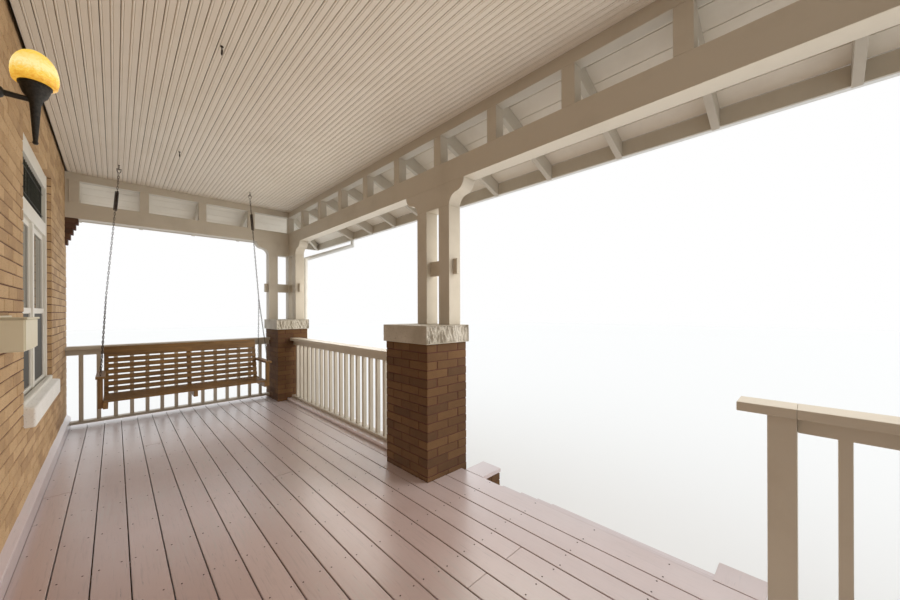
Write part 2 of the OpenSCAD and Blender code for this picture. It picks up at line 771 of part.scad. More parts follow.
module downspout() {
    gutter_bottom = fascia_h0 + gutter_drop;
    cap_gap = 5;
    outlet_len = 90;
    under_beam = 240;
    foot_up = 120;
    toe_up = 60;
    toe_out = 160;
    out_d = eave_d + fascia_t + gutter_w / 2;
    in_d = porch_d + cap_out + cap_gap + spout_w / 2;
    r = spout_w / 2;
    elbow = 2;
    top = at(outlet_x, out_d, gutter_bottom - 3 * seat_gap);
    bend_a = at(outlet_x, out_d, gutter_bottom - outlet_len);
    bend_b = at(drop_x, in_d, beam_h0 - under_beam);
    foot = at(drop_x, in_d, foot_up - deck_h);
    toe = at(drop_x, in_d + toe_out, toe_up - deck_h);
    color("white") {
        bar(top, bend_a, r);
        translate(bend_a) sphere(r = r + elbow);
        bar(bend_a, bend_b, r);
        translate(bend_b) sphere(r = r + elbow);
        bar(bend_b, foot, r);
        translate(foot) sphere(r = r + elbow);
        bar(foot, toe, r);
    }
}

/* Railings */
// A railing panel of length len, drawn along +X from the origin at deck level
module railing(len) {
    apron_h0 = rail_h - cap_t - apron_h;
    foot_h0 = curb_h + seat_gap;
    count = round((len - baluster_gap) / (baluster + baluster_gap));
    gap = (len - count * baluster) / (count + 1);
    translate([0, -cap_w / 2, rail_h - cap_t]) cube([len, cap_w, cap_t]);
    translate([0, -apron_t / 2, apron_h0]) cube([len, apron_t, apron_h + 1]);
    translate([0, -foot_w / 2, foot_h0]) cube([len, foot_w, foot_h]);
    for (i = [1:count]) translate([i * gap + (i - 1) * baluster, -baluster / 2, foot_h0 + foot_h - 1])
        cube([baluster, baluster, apron_h0 - foot_h0 - foot_h + 2]);
}
module front_railing() {
    color(trim) translate(at(pier_w / 2 + seat_gap, front_rail_d, 0)) railing(pier_x - pier_w - 2 * seat_gap);
}
module stair_railing() {
    x0 = -pier_x + pier_w / 2 + seat_gap;
    color(trim) translate(at(x0, stair_rail_d, 0)) railing(newel_x - x0 - seat_gap);
}
end_rail_x = end_in + 6;
// An end railing, cut back at its foot over the board along the house wall
module end_railing() {
    difference() {
        translate(at(end_rail_x, seat_gap, 0)) rotate([0, 0, -90]) railing(pier_in - 2 * seat_gap);
        block([end_in - cap_w, half + cap_w], [0, wall_curb + seat_gap],
              [0, wall_curb_h + wall_curb_rise + seat_gap]);
    }
}
module right_railing() {
    color(trim) end_railing();
}
module left_railing() {
    color(trim) mirror([1, 0, 0]) end_railing();
}
module newel_post() {
    color(trim) {
        block([newel_x, newel_x + newel_w],
              [stair_rail_d - newel_w / 2, stair_rail_d + newel_w / 2], [0, rail_h - cap_t]);
        block([newel_x, newel_x + newel_w + newel_cap],
              [stair_rail_d - cap_w / 2, stair_rail_d + cap_w / 2], [rail_h - cap_t, rail_h]);
    }
}

/* Porch swing: two ceiling eyes, chains with a spring and a slatted bench */
eye_r = 16;
eye_wire = 4;
link_wire = 3;
eye_drop = 34;
eye_h = plate_h1 - eye_drop;
pivot_h = eye_h - eye_r + eye_wire + link_wire + seat_gap;
// A ring of wire standing upright, its hole along the porch's depth
module ring(r, wire) {
    rotate([90, 0, 0]) rotate_extrude() translate([r, 0]) circle(r = wire);
}
module eye_bolt(x, d) {
    translate(at(x, d, eye_h)) {
        ring(eye_r, eye_wire);
        translate([0, 0, eye_r]) cylinder(h = plate_h1 - eye_h - eye_r + seat_gap, r = eye_wire);
    }
}
spare_hooks = [147, 2079];
module ceiling_hooks() {
    color(iron) {
        for (s = [-1, 1]) eye_bolt(swing_x, swing_d + s * hook_half);
        for (x = spare_hooks) eye_bolt(x, spare_hook_d);
    }
}
back_reach = 184;
back_x = swing_x + back_reach;
seat_x0 = back_x - seat_depth;
frame_places = [-seat_w / 2, -frame_t / 2, seat_w / 2 - frame_t];
arm_mid = seat_w / 2 + frame_t / 2;
back_len = (back_h - seat_h) / cos(back_lean);
seat_rail = 65;
arm_t = 26;
top_board = 115;
// The bench's side frame, drawn as [along the porch, above the deck]
module frame_shape() {
    upright = 45;
    below = seat_rail + slat_t;
    translate([seat_x0, seat_h - below]) square([seat_depth, seat_rail]);
    translate([back_x, seat_h]) rotate(-back_lean) translate([0, -below]) square([upright, back_len + below - 12]);
}
module swing_frame() {
    post_w = 50;
    behind = back_x + (arm_h - arm_t - seat_h) * tan(back_lean) - slat_t / cos(back_lean) - 2 * seat_gap;
    color(wood) {
        for (f = frame_places) out_from_wall(swing_d + f, swing_d + f + frame_t) frame_shape();
        for (s = [-1, 1]) let (d = swing_d + s * arm_mid) {
            block([seat_x0 + post_w, seat_x0 + 2 * post_w], [d - frame_t / 2, d + frame_t / 2],
                  [seat_h - slat_t - seat_rail, arm_h - arm_t]);
            difference() {
                block([seat_x0 + 10, back_x + 60], [d - arm_w / 2, d + arm_w / 2], [arm_h - arm_t, arm_h]);
                block([behind, back_x + 61],
                      [swing_d - seat_w / 2 - seat_gap, swing_d + seat_w / 2 + seat_gap],
                      [arm_h - arm_t - 1, arm_h + 1]);
            }
        }
    }
}
seat_slats = 8;
back_slats = 6;
module swing_slats() {
    seat_pitch = (seat_depth - slat_w - 6) / (seat_slats - 1);
    back_foot = 20;
    back_slat = 38;
    back_pitch = (back_len - top_board - back_foot) / back_slats;
    color(wood) {
        for (i = [0:seat_slats - 1]) let (x = seat_x0 + i * seat_pitch)
            block([x, x + slat_w], [swing_d - seat_w / 2, swing_d + seat_w / 2],
                  [seat_h - slat_t + seat_gap, seat_h]);
        out_from_wall(swing_d - seat_w / 2, swing_d + seat_w / 2) translate([back_x, seat_h]) rotate(-back_lean) {
            translate([-slat_t - seat_gap, back_len - top_board]) square([slat_t, top_board]);
            for (i = [0:back_slats - 1]) translate([-slat_t - seat_gap, back_foot + i * back_pitch])
                square([slat_t, back_slat]);
        }
    }
}
split_half = 750;
shackle_half = 16;
shackle_h = 48;
chain_r = 6;
spring_r = 20;
// A shackle, whose straight pin goes through the ceiling eye, with its foot at the origin
module shackle() {
    bar([0, -shackle_half, shackle_h], [0, shackle_half, shackle_h], link_wire);
    for (s = [-1, 1]) {
        translate([0, s * shackle_half, shackle_h]) sphere(r = link_wire + 1.5);
        bar([0, 0, 0], [0, s * shackle_half, shackle_h], link_wire);
    }
    sphere(r = chain_r + 1);
}
module swing_chains() {
    lug_h = 14;
    color(iron) for (s = [-1, 1]) {
        foot = at(swing_x, swing_d + s * hook_half, pivot_h - shackle_h);
        split = at(swing_x, swing_d + s * split_half, split_h);
        down = (split - foot) / norm(split - foot);
        p0 = foot + down * (spring_drop - shackle_h);
        p1 = p0 + down * spring_len;
        translate(foot) shackle();
        bar(foot, p0, chain_r);
        bar(p0, p1, spring_r);
        bar(p1, split, chain_r);
        translate(split) sphere(r = chain_r * 1.5);
        for (x = [seat_x0 + 70, back_x + 10]) let (end = at(x, swing_d + s * arm_mid, arm_h + lug_h)) {
            bar(split, end, chain_r);
            translate(end) sphere(r = chain_r + 1);
            translate(end - [0, 0, lug_h - seat_gap]) cylinder(h = lug_h, r = chain_r + 1);
        }
    }
}

house_wall();
wall_corbels();
window_sill();
window_frame();
window_sashes();
window_glass();
door_frame();
front_door();
mailbox();
lamp_bracket();
lamp_shade();
foundation_walls();
deck_joists();
deck_boards();
stair_stringers();
stair_treads();
stair_risers();
brick_piers();
pier_caps();
columns();
bolsters();
front_beam();
end_beams();
frieze_posts();
front_plate();
end_plates();
ceiling();
rafters();
hip_rafters();
roof_boards();
shingles();
hip_caps();
fascia();
gutter();
downspout();
front_railing();
stair_railing();
left_railing();
right_railing();
newel_post();
ceiling_hooks();
swing_frame();
swing_slats();
swing_chains();
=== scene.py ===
import json
import math
import random

import bmesh
import bpy
from mathutils import Matrix, Quaternion, Vector, noise

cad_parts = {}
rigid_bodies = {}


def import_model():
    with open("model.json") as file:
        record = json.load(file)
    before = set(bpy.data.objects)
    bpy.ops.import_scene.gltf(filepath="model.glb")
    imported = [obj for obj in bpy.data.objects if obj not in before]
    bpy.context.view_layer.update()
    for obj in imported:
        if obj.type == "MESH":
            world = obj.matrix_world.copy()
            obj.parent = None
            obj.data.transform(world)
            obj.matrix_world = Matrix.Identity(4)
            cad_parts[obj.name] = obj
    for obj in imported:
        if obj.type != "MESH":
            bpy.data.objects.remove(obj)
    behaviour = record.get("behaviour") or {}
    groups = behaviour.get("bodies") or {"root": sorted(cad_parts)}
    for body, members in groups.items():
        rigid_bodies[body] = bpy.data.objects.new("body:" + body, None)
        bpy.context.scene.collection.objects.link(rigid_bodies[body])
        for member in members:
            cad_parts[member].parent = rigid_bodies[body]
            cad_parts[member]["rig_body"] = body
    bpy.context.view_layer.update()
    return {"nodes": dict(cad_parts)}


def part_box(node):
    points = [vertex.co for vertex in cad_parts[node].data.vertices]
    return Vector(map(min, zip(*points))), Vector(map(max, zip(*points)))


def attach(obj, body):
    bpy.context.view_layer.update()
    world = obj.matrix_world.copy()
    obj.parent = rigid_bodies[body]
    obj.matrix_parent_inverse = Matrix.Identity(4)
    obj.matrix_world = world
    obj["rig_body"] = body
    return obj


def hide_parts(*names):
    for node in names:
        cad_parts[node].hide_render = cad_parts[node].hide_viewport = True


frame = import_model()
nodes = frame["nodes"]
scene = bpy.context.scene
scene.view_settings.view_transform = "Standard"


# Camera
# Stands under the porch roof near the newel, at the height of the wall lamp's stem, and looks
# level along the deck towards the far front corner, turned a fifth of a degree about its axis.

eye = Vector((-2.3515, -0.5395, 2.1067))
heading = math.radians(43.8615)
roll = math.radians(0.1986)
sensor_mm = 36.0
lens_px, picture_px, horizon_px = 348.71, 900.0, 11.8

ahead = Vector((math.cos(heading), -math.sin(heading), 0.0))
level = ahead.cross(Vector((0, 0, 1)))
right = level * math.cos(roll) - Vector((0, 0, math.sin(roll)))
upward = right.cross(ahead)
camera_data = bpy.data.cameras.new("porch_camera")
camera_data.sensor_width = sensor_mm
camera_data.lens = sensor_mm * lens_px / picture_px
camera_data.shift_y = horizon_px / picture_px
camera_data.clip_start = 0.02
camera = bpy.data.objects.new("porch_camera", camera_data)
scene.collection.objects.link(camera)
camera.matrix_world = Matrix(((right.x, upward.x, -ahead.x, eye.x),
                              (right.y, upward.y, -ahead.y, eye.y),
                              (right.z, upward.z, -ahead.z, eye.z),
                              (0, 0, 0, 1)))
scene.camera = camera


# Brick house wall
# The front wall of the house, tan stretcher brick with dark red mortar, plastered on the room
# side. The CAD wall is the mortar, and real bricks one brick's width deep stand 4 mm out of it,
# broken round the window and the door and turned at the ends in every other course.

def add(tree, kind, inputs=None, **settings):
    """One node, its settings, and its inputs as plain values or as other nodes' outputs."""
    n = tree.nodes.new(kind)
    for key, value in settings.items():
        setattr(n, key, value)
    for key, value in (inputs or {}).items():
        if isinstance(value, bpy.types.NodeSocket):
            tree.links.new(value, n.inputs[key])
        else:
            n.inputs[key].default_value = value
    return n


def here(tree):
    """The place on the object, in metres."""
    return add(tree, "ShaderNodeTexCoord").outputs["Object"]


def stretched(tree, place, scale):
    """A place with its axes scaled."""
    return add(tree, "ShaderNodeMapping", {"Vector": place, "Scale": scale}).outputs[0]


def noise_at(tree, place, scale, detail, rough=0.5, warp=0.0):
    """Noise over a place, as a value about one half."""
    return add(tree, "ShaderNodeTexNoise", {"Vector": place, "Scale": scale, "Detail": detail,
                                            "Roughness": rough, "Distortion": warp}).outputs["Fac"]


def maths(tree, operation, *values):
    """The outcome of one Math node."""
    return add(tree, "ShaderNodeMath", dict(enumerate(values)), operation=operation).outputs[0]


def remap(tree, value, low, high, to_low=0.0, to_high=1.0, curve="LINEAR"):
    """A value taken from one range to another and held inside it."""
    return add(tree, "ShaderNodeMapRange", {
        "Value": value, "From Min": low, "From Max": high, "To Min": to_low, "To Max": to_high},
        interpolation_type=curve).outputs[0]


def axis_of(tree, place, axis):
    """One coordinate of a place."""
    return add(tree, "ShaderNodeSeparateXYZ", {"Vector": place}).outputs[axis]


def tone_of(tree):
    """The board's or brick's own tone, from 0 to 1."""
    return add(tree, "ShaderNodeAttribute", attribute_name="tone").outputs["Fac"]


def ramp(tree, fac, stops):
    """Colours along a value, as (place, (r, g, b))."""
    n = add(tree, "ShaderNodeValToRGB", {"Fac": fac})
    for i, (place, color) in enumerate(stops):
        stop = n.color_ramp.elements[i] if i < 2 else n.color_ramp.elements.new(place)
        stop.position = place
        stop.color = (*color, 1)
    return n.outputs["Color"]


def opaque(value):
    """A colour with its alpha; anything else stays as it is."""
    return (*value, 1) if isinstance(value, tuple) else value


def mix(tree, fac, a, b, blend="MIX"):
    """Two colours mixed by a value."""
    return add(tree, "ShaderNodeMix", {0: fac, 6: opaque(a), 7: opaque(b)}, data_type="RGBA",
               blend_type=blend).outputs[2]


def finish(name, roughness=0.6, metallic=0.0, color=None):
    """A material with one Principled BSDF, returned with its tree and that shader."""
    material = bpy.data.materials.new(name)
    material.use_nodes = True
    tree = material.node_tree
    tree.nodes.clear()
    shader = add(tree, "ShaderNodeBsdfPrincipled", {"Roughness": roughness, "Metallic": metallic})
    if color:
        shader.inputs["Base Color"].default_value = material.diffuse_color = opaque(color)
    add(tree, "ShaderNodeOutputMaterial", {"Surface": shader.outputs[0]})
    return material, tree, shader


def coat_with(tree, shader, color, height=None, strength=0.0, distance=0.001):
    """Gives a shader its colour, and its relief through a Bump node."""
    tree.links.new(color, shader.inputs["Base Color"])
    if height:
        n = add(tree, "ShaderNodeBump", {"Height": height, "Strength": strength, "Distance": distance})
        tree.links.new(n.outputs[0], shader.inputs["Normal"])


def node_group(name, kind, inputs, outputs):
    """An empty node group with named sockets, as (name, kind), and what its two end nodes hold."""
    tree = bpy.data.node_groups.new(name, kind + "NodeTree")
    for way, sockets in (("INPUT", inputs), ("OUTPUT", outputs)):
        for label, socket_kind in sockets:
            tree.interface.new_socket(label, in_out=way, socket_type="NodeSocket" + socket_kind)
    return tree, add(tree, "NodeGroupInput").outputs, add(tree, "NodeGroupOutput").inputs


def use_group(tree, group, inputs):
    """A shader node group in a material, its inputs given as colours, values or outputs."""
    filled = {key: opaque(value) for key, value in inputs.items()}
    return add(tree, "ShaderNodeGroup", filled, node_tree=group).outputs


# Fired clay: each brick takes its own place in a range of colours from its tone, with clouds,
# dark specks and a fine sandy surface
fired_clay, given, wanted = node_group(
    "fired_clay", "Shader", [("Vector", "Vector"), ("Light", "Color"), ("Middle", "Color"), ("Dark", "Color"),
                             ("Tone", "Float")], [("Color", "Color"), ("Height", "Float")])
clouds = noise_at(fired_clay, given["Vector"], 9.0, 5.0)
specks = noise_at(fired_clay, given["Vector"], 160.0, 3.0)
shade = maths(fired_clay, "MULTIPLY_ADD", clouds, 0.55, given["Tone"])
clay = mix(fired_clay, remap(fired_clay, shade, 0.3, 0.75), given["Dark"], given["Middle"])
clay = mix(fired_clay, remap(fired_clay, shade, 0.75, 1.25), clay, given["Light"])
spots = remap(fired_clay, specks, 0.60, 0.70, 0.0, 0.55)
fired_clay.links.new(mix(fired_clay, spots, clay, (0.035, 0.022, 0.016)), wanted["Color"])
fired_clay.links.new(maths(fired_clay, "ADD", specks, clouds), wanted["Height"])


def brick_finish(name, light, middle, dark):
    """Bricks of one kiln, between three colours."""
    material, tree, shader = finish(name, roughness=0.88)
    own = remap(tree, tone_of(tree), 0.0, 1.0, 0.2, 0.8)
    fired = use_group(tree, fired_clay, {"Vector": here(tree), "Light": light, "Middle": middle, "Dark": dark,
                                         "Tone": own})
    coat_with(tree, shader, fired["Color"], fired["Height"], 0.35, 0.003)
    return material


def mortar_finish(name, dark, light, plaster=None):
    """Sandy mortar, with plaster on the side towards the room where one is given."""
    material, tree, shader = finish(name, roughness=0.95)
    place = here(tree)
    grit = noise_at(tree, place, 240.0, 4.0)
    color = ramp(tree, grit, [(0.3, dark), (0.7, light)])
    if plaster:
        room_face = -wall_face - 0.0005
        indoors = maths(tree, "GREATER_THAN", axis_of(tree, place, "Y"), room_face)
        color = mix(tree, indoors, color, plaster)
    coat_with(tree, shader, color, grit, 0.6, 0.002)
    return material


def link(obj):
    """Puts an object in the scene."""
    scene.collection.objects.link(obj)
    return obj


def mesh_of(name, bm):
    """A bmesh put away as a mesh."""
    mesh = bpy.data.meshes.new(name)
    bm.to_mesh(mesh)
    bm.free()
    return mesh


def bar(bm, lo, hi, edge=0.002, steps=1):
    """A square bar between two corners, with its arrises eased."""
    middle_at = Matrix.Translation([(a + b) / 2 for a, b in zip(lo, hi)])
    sides = Matrix.Diagonal((*[b - a for a, b in zip(lo, hi)], 1))
    made = bmesh.ops.create_cube(bm, size=1.0, matrix=middle_at @ sides)
    arrises = list(dict.fromkeys(e for v in made["verts"] for e in v.link_edges))
    bmesh.ops.bevel(bm, geom=arrises, offset=edge, segments=steps, affect="EDGES")


# Lays copies of a pattern piece at points, each with its own size, turn, slack and tone
laying, given, wanted = node_group(
    "laid_pieces", "Geometry", [("Places", "Geometry"), ("Pattern", "Object"), ("Slack", "Vector"),
                                ("Twist", "Float"), ("Seed", "Int"), ("Finish", "Material")],
    [("Laid", "Geometry")])
pattern_in = add(laying, "GeometryNodeObjectInfo", {"Object": given["Pattern"]})
size_at = add(laying, "GeometryNodeInputNamedAttribute", {"Name": "size"}, data_type="FLOAT_VECTOR")
turn_at = add(laying, "GeometryNodeInputNamedAttribute", {"Name": "turn"}, data_type="FLOAT_VECTOR")
as_turn = add(laying, "FunctionNodeEulerToRotation", {"Euler": turn_at.outputs["Attribute"]})
copies = add(laying, "GeometryNodeInstanceOnPoints", {
    "Points": given["Places"], "Instance": pattern_in.outputs["Geometry"], "Rotation": as_turn.outputs[0],
    "Scale": size_at.outputs["Attribute"]})
back = add(laying, "ShaderNodeVectorMath", {0: given["Slack"], 3: -1.0}, operation="SCALE")
shift = add(laying, "FunctionNodeRandomValue", {0: back.outputs[0], 1: given["Slack"], "Seed": given["Seed"]},
            data_type="FLOAT_VECTOR")
moved = add(laying, "GeometryNodeTranslateInstances", {
    "Instances": copies.outputs[0], "Translation": shift.outputs[0], "Local Space": False})
untwist = maths(laying, "MULTIPLY", given["Twist"], -1.0)
twist = add(laying, "FunctionNodeRandomValue", {2: untwist, 3: given["Twist"], "Seed": given["Seed"]},
            data_type="FLOAT").outputs[1]
askew = add(laying, "ShaderNodeCombineXYZ", {"X": twist, "Y": twist, "Z": twist})
skewed = add(laying, "GeometryNodeRotateInstances", {
    "Instances": moved.outputs[0], "Rotation": askew.outputs[0]})
pick = add(laying, "FunctionNodeRandomValue", {2: 0.0, 3: 1.0, "Seed": given["Seed"]}, data_type="FLOAT")
toned = add(laying, "GeometryNodeStoreNamedAttribute", {
    "Geometry": skewed.outputs[0], "Name": "tone", "Value": pick.outputs[1]},
    data_type="FLOAT", domain="INSTANCE")
real = add(laying, "GeometryNodeRealizeInstances", {0: toned.outputs[0]})
coated = add(laying, "GeometryNodeSetMaterial", {"Geometry": real.outputs[0], "Material": given["Finish"]})
laying.links.new(coated.outputs[0], wanted["Laid"])


def settle(name, obj, body):
    """Turns an object with a live modifier into a plain mesh that rides on a body."""
    link(obj)
    bpy.context.view_layer.update()
    mesh = bpy.data.meshes.new_from_object(obj.evaluated_get(bpy.context.evaluated_depsgraph_get()))
    bpy.data.objects.remove(obj)
    mesh.name = name
    made = link(bpy.data.objects.new(name, mesh))
    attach(made, body)
    return made


def lay(name, pattern, places, material, slack=(0, 0, 0), twist=0.0, seed=1, body="porch"):
    """Copies of a pattern at (place, size factors, turn), as one mesh."""
    points = bpy.data.meshes.new(name + "_places")
    points.from_pydata([p[0] for p in places], [], [])
    for label, k, blank in (("size", 1, (1, 1, 1)), ("turn", 2, (0, 0, 0))):
        held = points.attributes.new(label, "FLOAT_VECTOR", "POINT")
        held.data.foreach_set("vector", [c for p in places for c in (p[k] if len(p) > k else blank)])
    obj = bpy.data.objects.new(name + "_places", points)
    link(pattern)
    live = obj.modifiers.new("laid", "NODES")
    live.node_group = laying
    for label, value in (("Pattern", pattern), ("Slack", slack), ("Twist", twist), ("Seed", seed),
                         ("Finish", material)):
        key = next(s.identifier for s in laying.interface.items_tree
                   if s.item_type == "SOCKET" and s.in_out == "INPUT" and s.name == label)
        live[key] = value
    made = settle(name, obj, body)
    scene.collection.objects.unlink(pattern)


def dress(node, material):
    """Gives a CAD node that stays in sight its material."""
    obj = nodes[node]
    obj.data.materials.clear()
    obj.data.materials.append(material)


brick_size = (0.208, 0.100, 0.060)
brick_l, brick_d = brick_size[:2]
joint, corner_joint = 0.006, 0.008
turn_in, run_pitch = brick_d + corner_joint, brick_l + corner_joint
least_course, least_span, least_brick = 0.02, 0.03, 0.025


def brick_place(lo, hi):
    """Where a pattern brick goes to fill the block between two corners."""
    return ([(a + b) / 2 for a, b in zip(lo, hi)], [(b - a) / s for a, b, s in zip(lo, hi, brick_size)])


wall_lo, wall_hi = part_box("house_wall")
wall_face = wall_lo.y
window_lo, window_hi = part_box("window_frame")
sill_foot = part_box("window_sill")[0].z
door_lo, door_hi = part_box("door_frame")
deck_top = door_lo.z
wall_gaps = [(window_lo.x, window_hi.x, sill_foot, window_hi.z), (door_lo.x, door_hi.x, deck_top, door_hi.z)]
wall_course, course_at = 0.0711, 1.333
wall_brick, wall_phase = 0.2155, 0.537
proud, tucked = 0.004, 0.0015
bed_depth = brick_d - proud

wall_places = []
lowest_course = -math.floor((deck_top + course_at) / wall_course)
for k in range(lowest_course, 80):
    z0 = deck_top + course_at + k * wall_course + joint / 2
    z1 = min(z0 + wall_course - joint, wall_hi.z + 0.002)
    if z1 - z0 < least_course:
        break
    end = wall_hi.x + proud - (turn_in if k % 2 else 0.0)
    spans = [(-end, end)]
    for gap_x0, gap_x1, gap_z0, gap_z1 in wall_gaps:
        if gap_z0 < (z0 + z1) / 2 < gap_z1:
            beside = [(a, min(b, gap_x0 + tucked)) for a, b in spans]
            beside += [(max(a, gap_x1 - tucked), b) for a, b in spans]
            spans = [(a, b) for a, b in sorted(beside) if b - a > least_span]
    start = wall_phase + (wall_brick / 2 if k % 2 else 0.0)
    for a, b in spans:
        x = start + math.floor((a - start) / wall_brick) * wall_brick
        while x < b:
            x0, x1 = max(x + joint / 2, a), min(x + wall_brick - joint / 2, b)
            if x1 - x0 > least_brick:
                wall_places.append(brick_place((x0, wall_face - proud, z0), (x1, wall_face + bed_depth, z1)))
            x += wall_brick
    front, rear = wall_face - proud, -wall_face
    cuts = (front, front + brick_l, front + run_pitch, rear) if k % 2 else (front + turn_in, rear)
    for side in (-1, 1):
        x0, x1 = sorted((side * (wall_hi.x + proud), side * (wall_hi.x - bed_depth)))
        for y0, y1 in zip(cuts[::2], cuts[1::2]):
            wall_places.append(brick_place((x0, y0, z0), (x1, y1, z1)))

bm = bmesh.new()
bar(bm, [-s / 2 for s in brick_size], [s / 2 for s in brick_size], edge=0.0028)
brick = bpy.data.objects.new("pattern_brick", mesh_of("pattern_brick", bm))
tan_brick = brick_finish("tan_brick", (0.64, 0.445, 0.255), (0.51, 0.338, 0.180), (0.35, 0.215, 0.112))
lay("wall_bricks", brick, wall_places, tan_brick, slack=(0.0012, 0.0012, 0.001),
    twist=0.003, seed=3)
red_mortar = mortar_finish("red_mortar", (0.080, 0.032, 0.020), (0.16, 0.070, 0.045),
                           plaster=(0.66, 0.63, 0.57))
dress("house_wall", red_mortar)


# Brick piers, foundation and corbels
# Three piers of brown clinker brick, two by two and a half bricks, laid with a turned brick at
# each corner in every course; the same brick carries the deck, and a darker one steps out from the
# wall under each end beam.

pier_lo, pier_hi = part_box("brick_piers")
pier_w = 2 * min(abs(v.co.x) for v in nodes["brick_piers"].data.vertices)
pier_mids = (pier_lo.x + pier_w / 2, 0.0, pier_hi.x - pier_w / 2)
pier_course, pier_foot, header, pier_proud = 0.0689, 0.039, 0.106, 0.003
ground_gap = 0.001

pier_places = []
lowest_course = -math.ceil((deck_top + pier_foot) / pier_course)
highest_course = math.floor((pier_hi.z - deck_top) / pier_course)
for mid in pier_mids:
    x0, x1 = mid - pier_w / 2 - pier_proud, mid + pier_w / 2 + pier_proud
    y0, y1 = pier_lo.y - pier_proud, pier_hi.y + pier_proud
    half_w = (x1 - x0 - header) / 2
    half_d = (y1 - y0 - joint) / 2
    boxes = [(a, a + half_w - joint, y, y + brick_d) for a in (x0, x0 + half_w) for y in (y0, y1 - brick_d)]
    boxes += [(x0, x0 + header, y0 + turn_in, y1 - turn_in), (x1 - header, x1, y0, y0 + half_d),
              (x1 - header, x1, y1 - half_d, y1)]
    for k in range(lowest_course, highest_course):
        z0 = deck_top + pier_foot + k * pier_course + joint / 2
        z0, z1 = max(z0, ground_gap), z0 + pier_course - joint
        for a, b, c, d in boxes:
            if k % 2:
                a, b = 2 * mid - b, 2 * mid - a
            pier_places.append(brick_place((a, c, z0), (b, d, z1)))

# The foundation's faces between the piers and along both ends, from the ground to the deck's underside
found_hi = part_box("foundation_walls")[1]
stair_lo, stair_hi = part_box("stair_treads")
riser_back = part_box("stair_stringers")[1].y


def foundation_courses():
    """Each brick course of the foundation, as (its number, its foot, its head)."""
    for k in range(12):
        z0 = k * pier_course + joint / 2
        z1 = min(z0 + pier_course - joint, found_hi.z - 0.002)
        if z1 - z0 >= least_course:
            yield k, z0, z1


runs = [("x", riser_back, pier_mids[0] + pier_w / 2, -pier_w / 2),
        ("x", riser_back, pier_w / 2, pier_mids[2] - pier_w / 2),
        ("y", -found_hi.x, pier_hi.y, wall_face), ("y", found_hi.x, pier_hi.y, wall_face)]
for along, face, a, b in runs:
    outward = 1 if face > 0 else -1
    for k, z0, z1 in foundation_courses():
        t = a - (turn_in if k % 2 else 0.0)
        while t < b:
            t0, t1 = max(t, a) + joint / 2, min(t + run_pitch, b) - joint / 2
            if t1 - t0 > least_span and along == "x":
                pier_places.append(brick_place((t0, face - proud, z0), (t1, face + bed_depth, z1)))
            elif t1 - t0 > least_span:
                f0, f1 = sorted((face + outward * proud, face - outward * bed_depth))
                pier_places.append(brick_place((f0, t0, z0), (f1, t1, z1)))
            t += run_pitch

# Each cheek wall beside the stair is one brick thick, with a whole and a half brick at its front in turn
cheek_w, cheek_gap = 0.172, 0.001
for x0 in (stair_lo.x - cheek_gap - cheek_w, stair_hi.x + cheek_gap):
    x1 = x0 + cheek_w
    reach = min(v.co.y for v in nodes["foundation_walls"].data.vertices if x0 - 0.01 < v.co.x < x1 + 0.01)
    for k, z0, z1 in foundation_courses():
        y0, y1 = reach - proud, reach + (brick_l if k % 2 else brick_d)
        while y1 - y0 > least_span:
            pier_places.append(brick_place((x0 - proud, y0, z0), (x1 + proud, y1, z1)))
            y0, y1 = y1 + joint, min(y1 + joint + brick_l, riser_back - 0.002)

brown_brick = brick_finish("brown_brick", (0.165, 0.085, 0.029), (0.118, 0.056, 0.018), (0.075, 0.034, 0.012))
lay("pier_bricks", brick, pier_places, brown_brick, slack=(0.001, 0.001, 0.0008),
    twist=0.003, seed=11)
dark_mortar = mortar_finish("dark_red_mortar", (0.070, 0.022, 0.013), (0.115, 0.038, 0.023))
for node in ("brick_piers", "foundation_walls"):
    dress(node, dark_mortar)
dress("wall_corbels", dark_mortar)

# The corbels' bricks, one to a course, each standing out further than the one below
corbel_lo, corbel_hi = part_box("wall_corbels")
corbel_steps, corbel_w, over_side, over_front = 5, 0.132, 0.002, 0.003
corbel_h = (corbel_hi.z - corbel_lo.z) / corbel_steps
corbel_places = []
for side in (-1, 1):
    x0, x1 = sorted((side * (corbel_hi.x + over_side), side * (corbel_hi.x - corbel_w - over_side)))
    for i in range(corbel_steps):
        reach = (wall_face - corbel_lo.y) * (corbel_steps - i) / corbel_steps + over_front
        z1 = corbel_hi.z - i * corbel_h - joint / 2
        corbel_places.append(brick_place((x0, wall_face - reach, z1 - corbel_h + joint), (x1, wall_face, z1)))
dark_brick = brick_finish("dark_brick", (0.150, 0.080, 0.045), (0.085, 0.043, 0.026), (0.035, 0.019, 0.013))
lay("corbel_bricks", brick, corbel_places, dark_brick, seed=5)


# Stone caps
# Sandstone blocks, one on each pier, painted off-white: the top and the face towards the house
# are sawn smooth, and the other three faces are split to a rough pitched face.

def stone_finish(name, stained, coat, fresh):
    """Masonry paint over sandstone, stained in patches, with painted shade in its open pits."""
    material, tree, shader = finish(name, roughness=0.72)
    place = here(tree)
    pits = noise_at(tree, place, 90.0, 5.0)
    pale = ramp(tree, noise_at(tree, place, 6.0, 6.0), [(0.25, stained), (0.6, coat), (0.8, fresh)])
    # Painted shade in the pits: the lowest spots of the relief take half the stained colour
    pit_shade = tuple(0.5 * c for c in stained)
    color = mix(tree, remap(tree, pits, 0.30, 0.42, 0.55, 0.0), pale, pit_shade)
    coat_with(tree, shader, color, pits, 0.5, 0.002)
    return material


# The grid of a split face, the depth of its hollows, and how far its rims are nibbled
cell, deep, nibbled = 0.0085, 0.026, 0.004


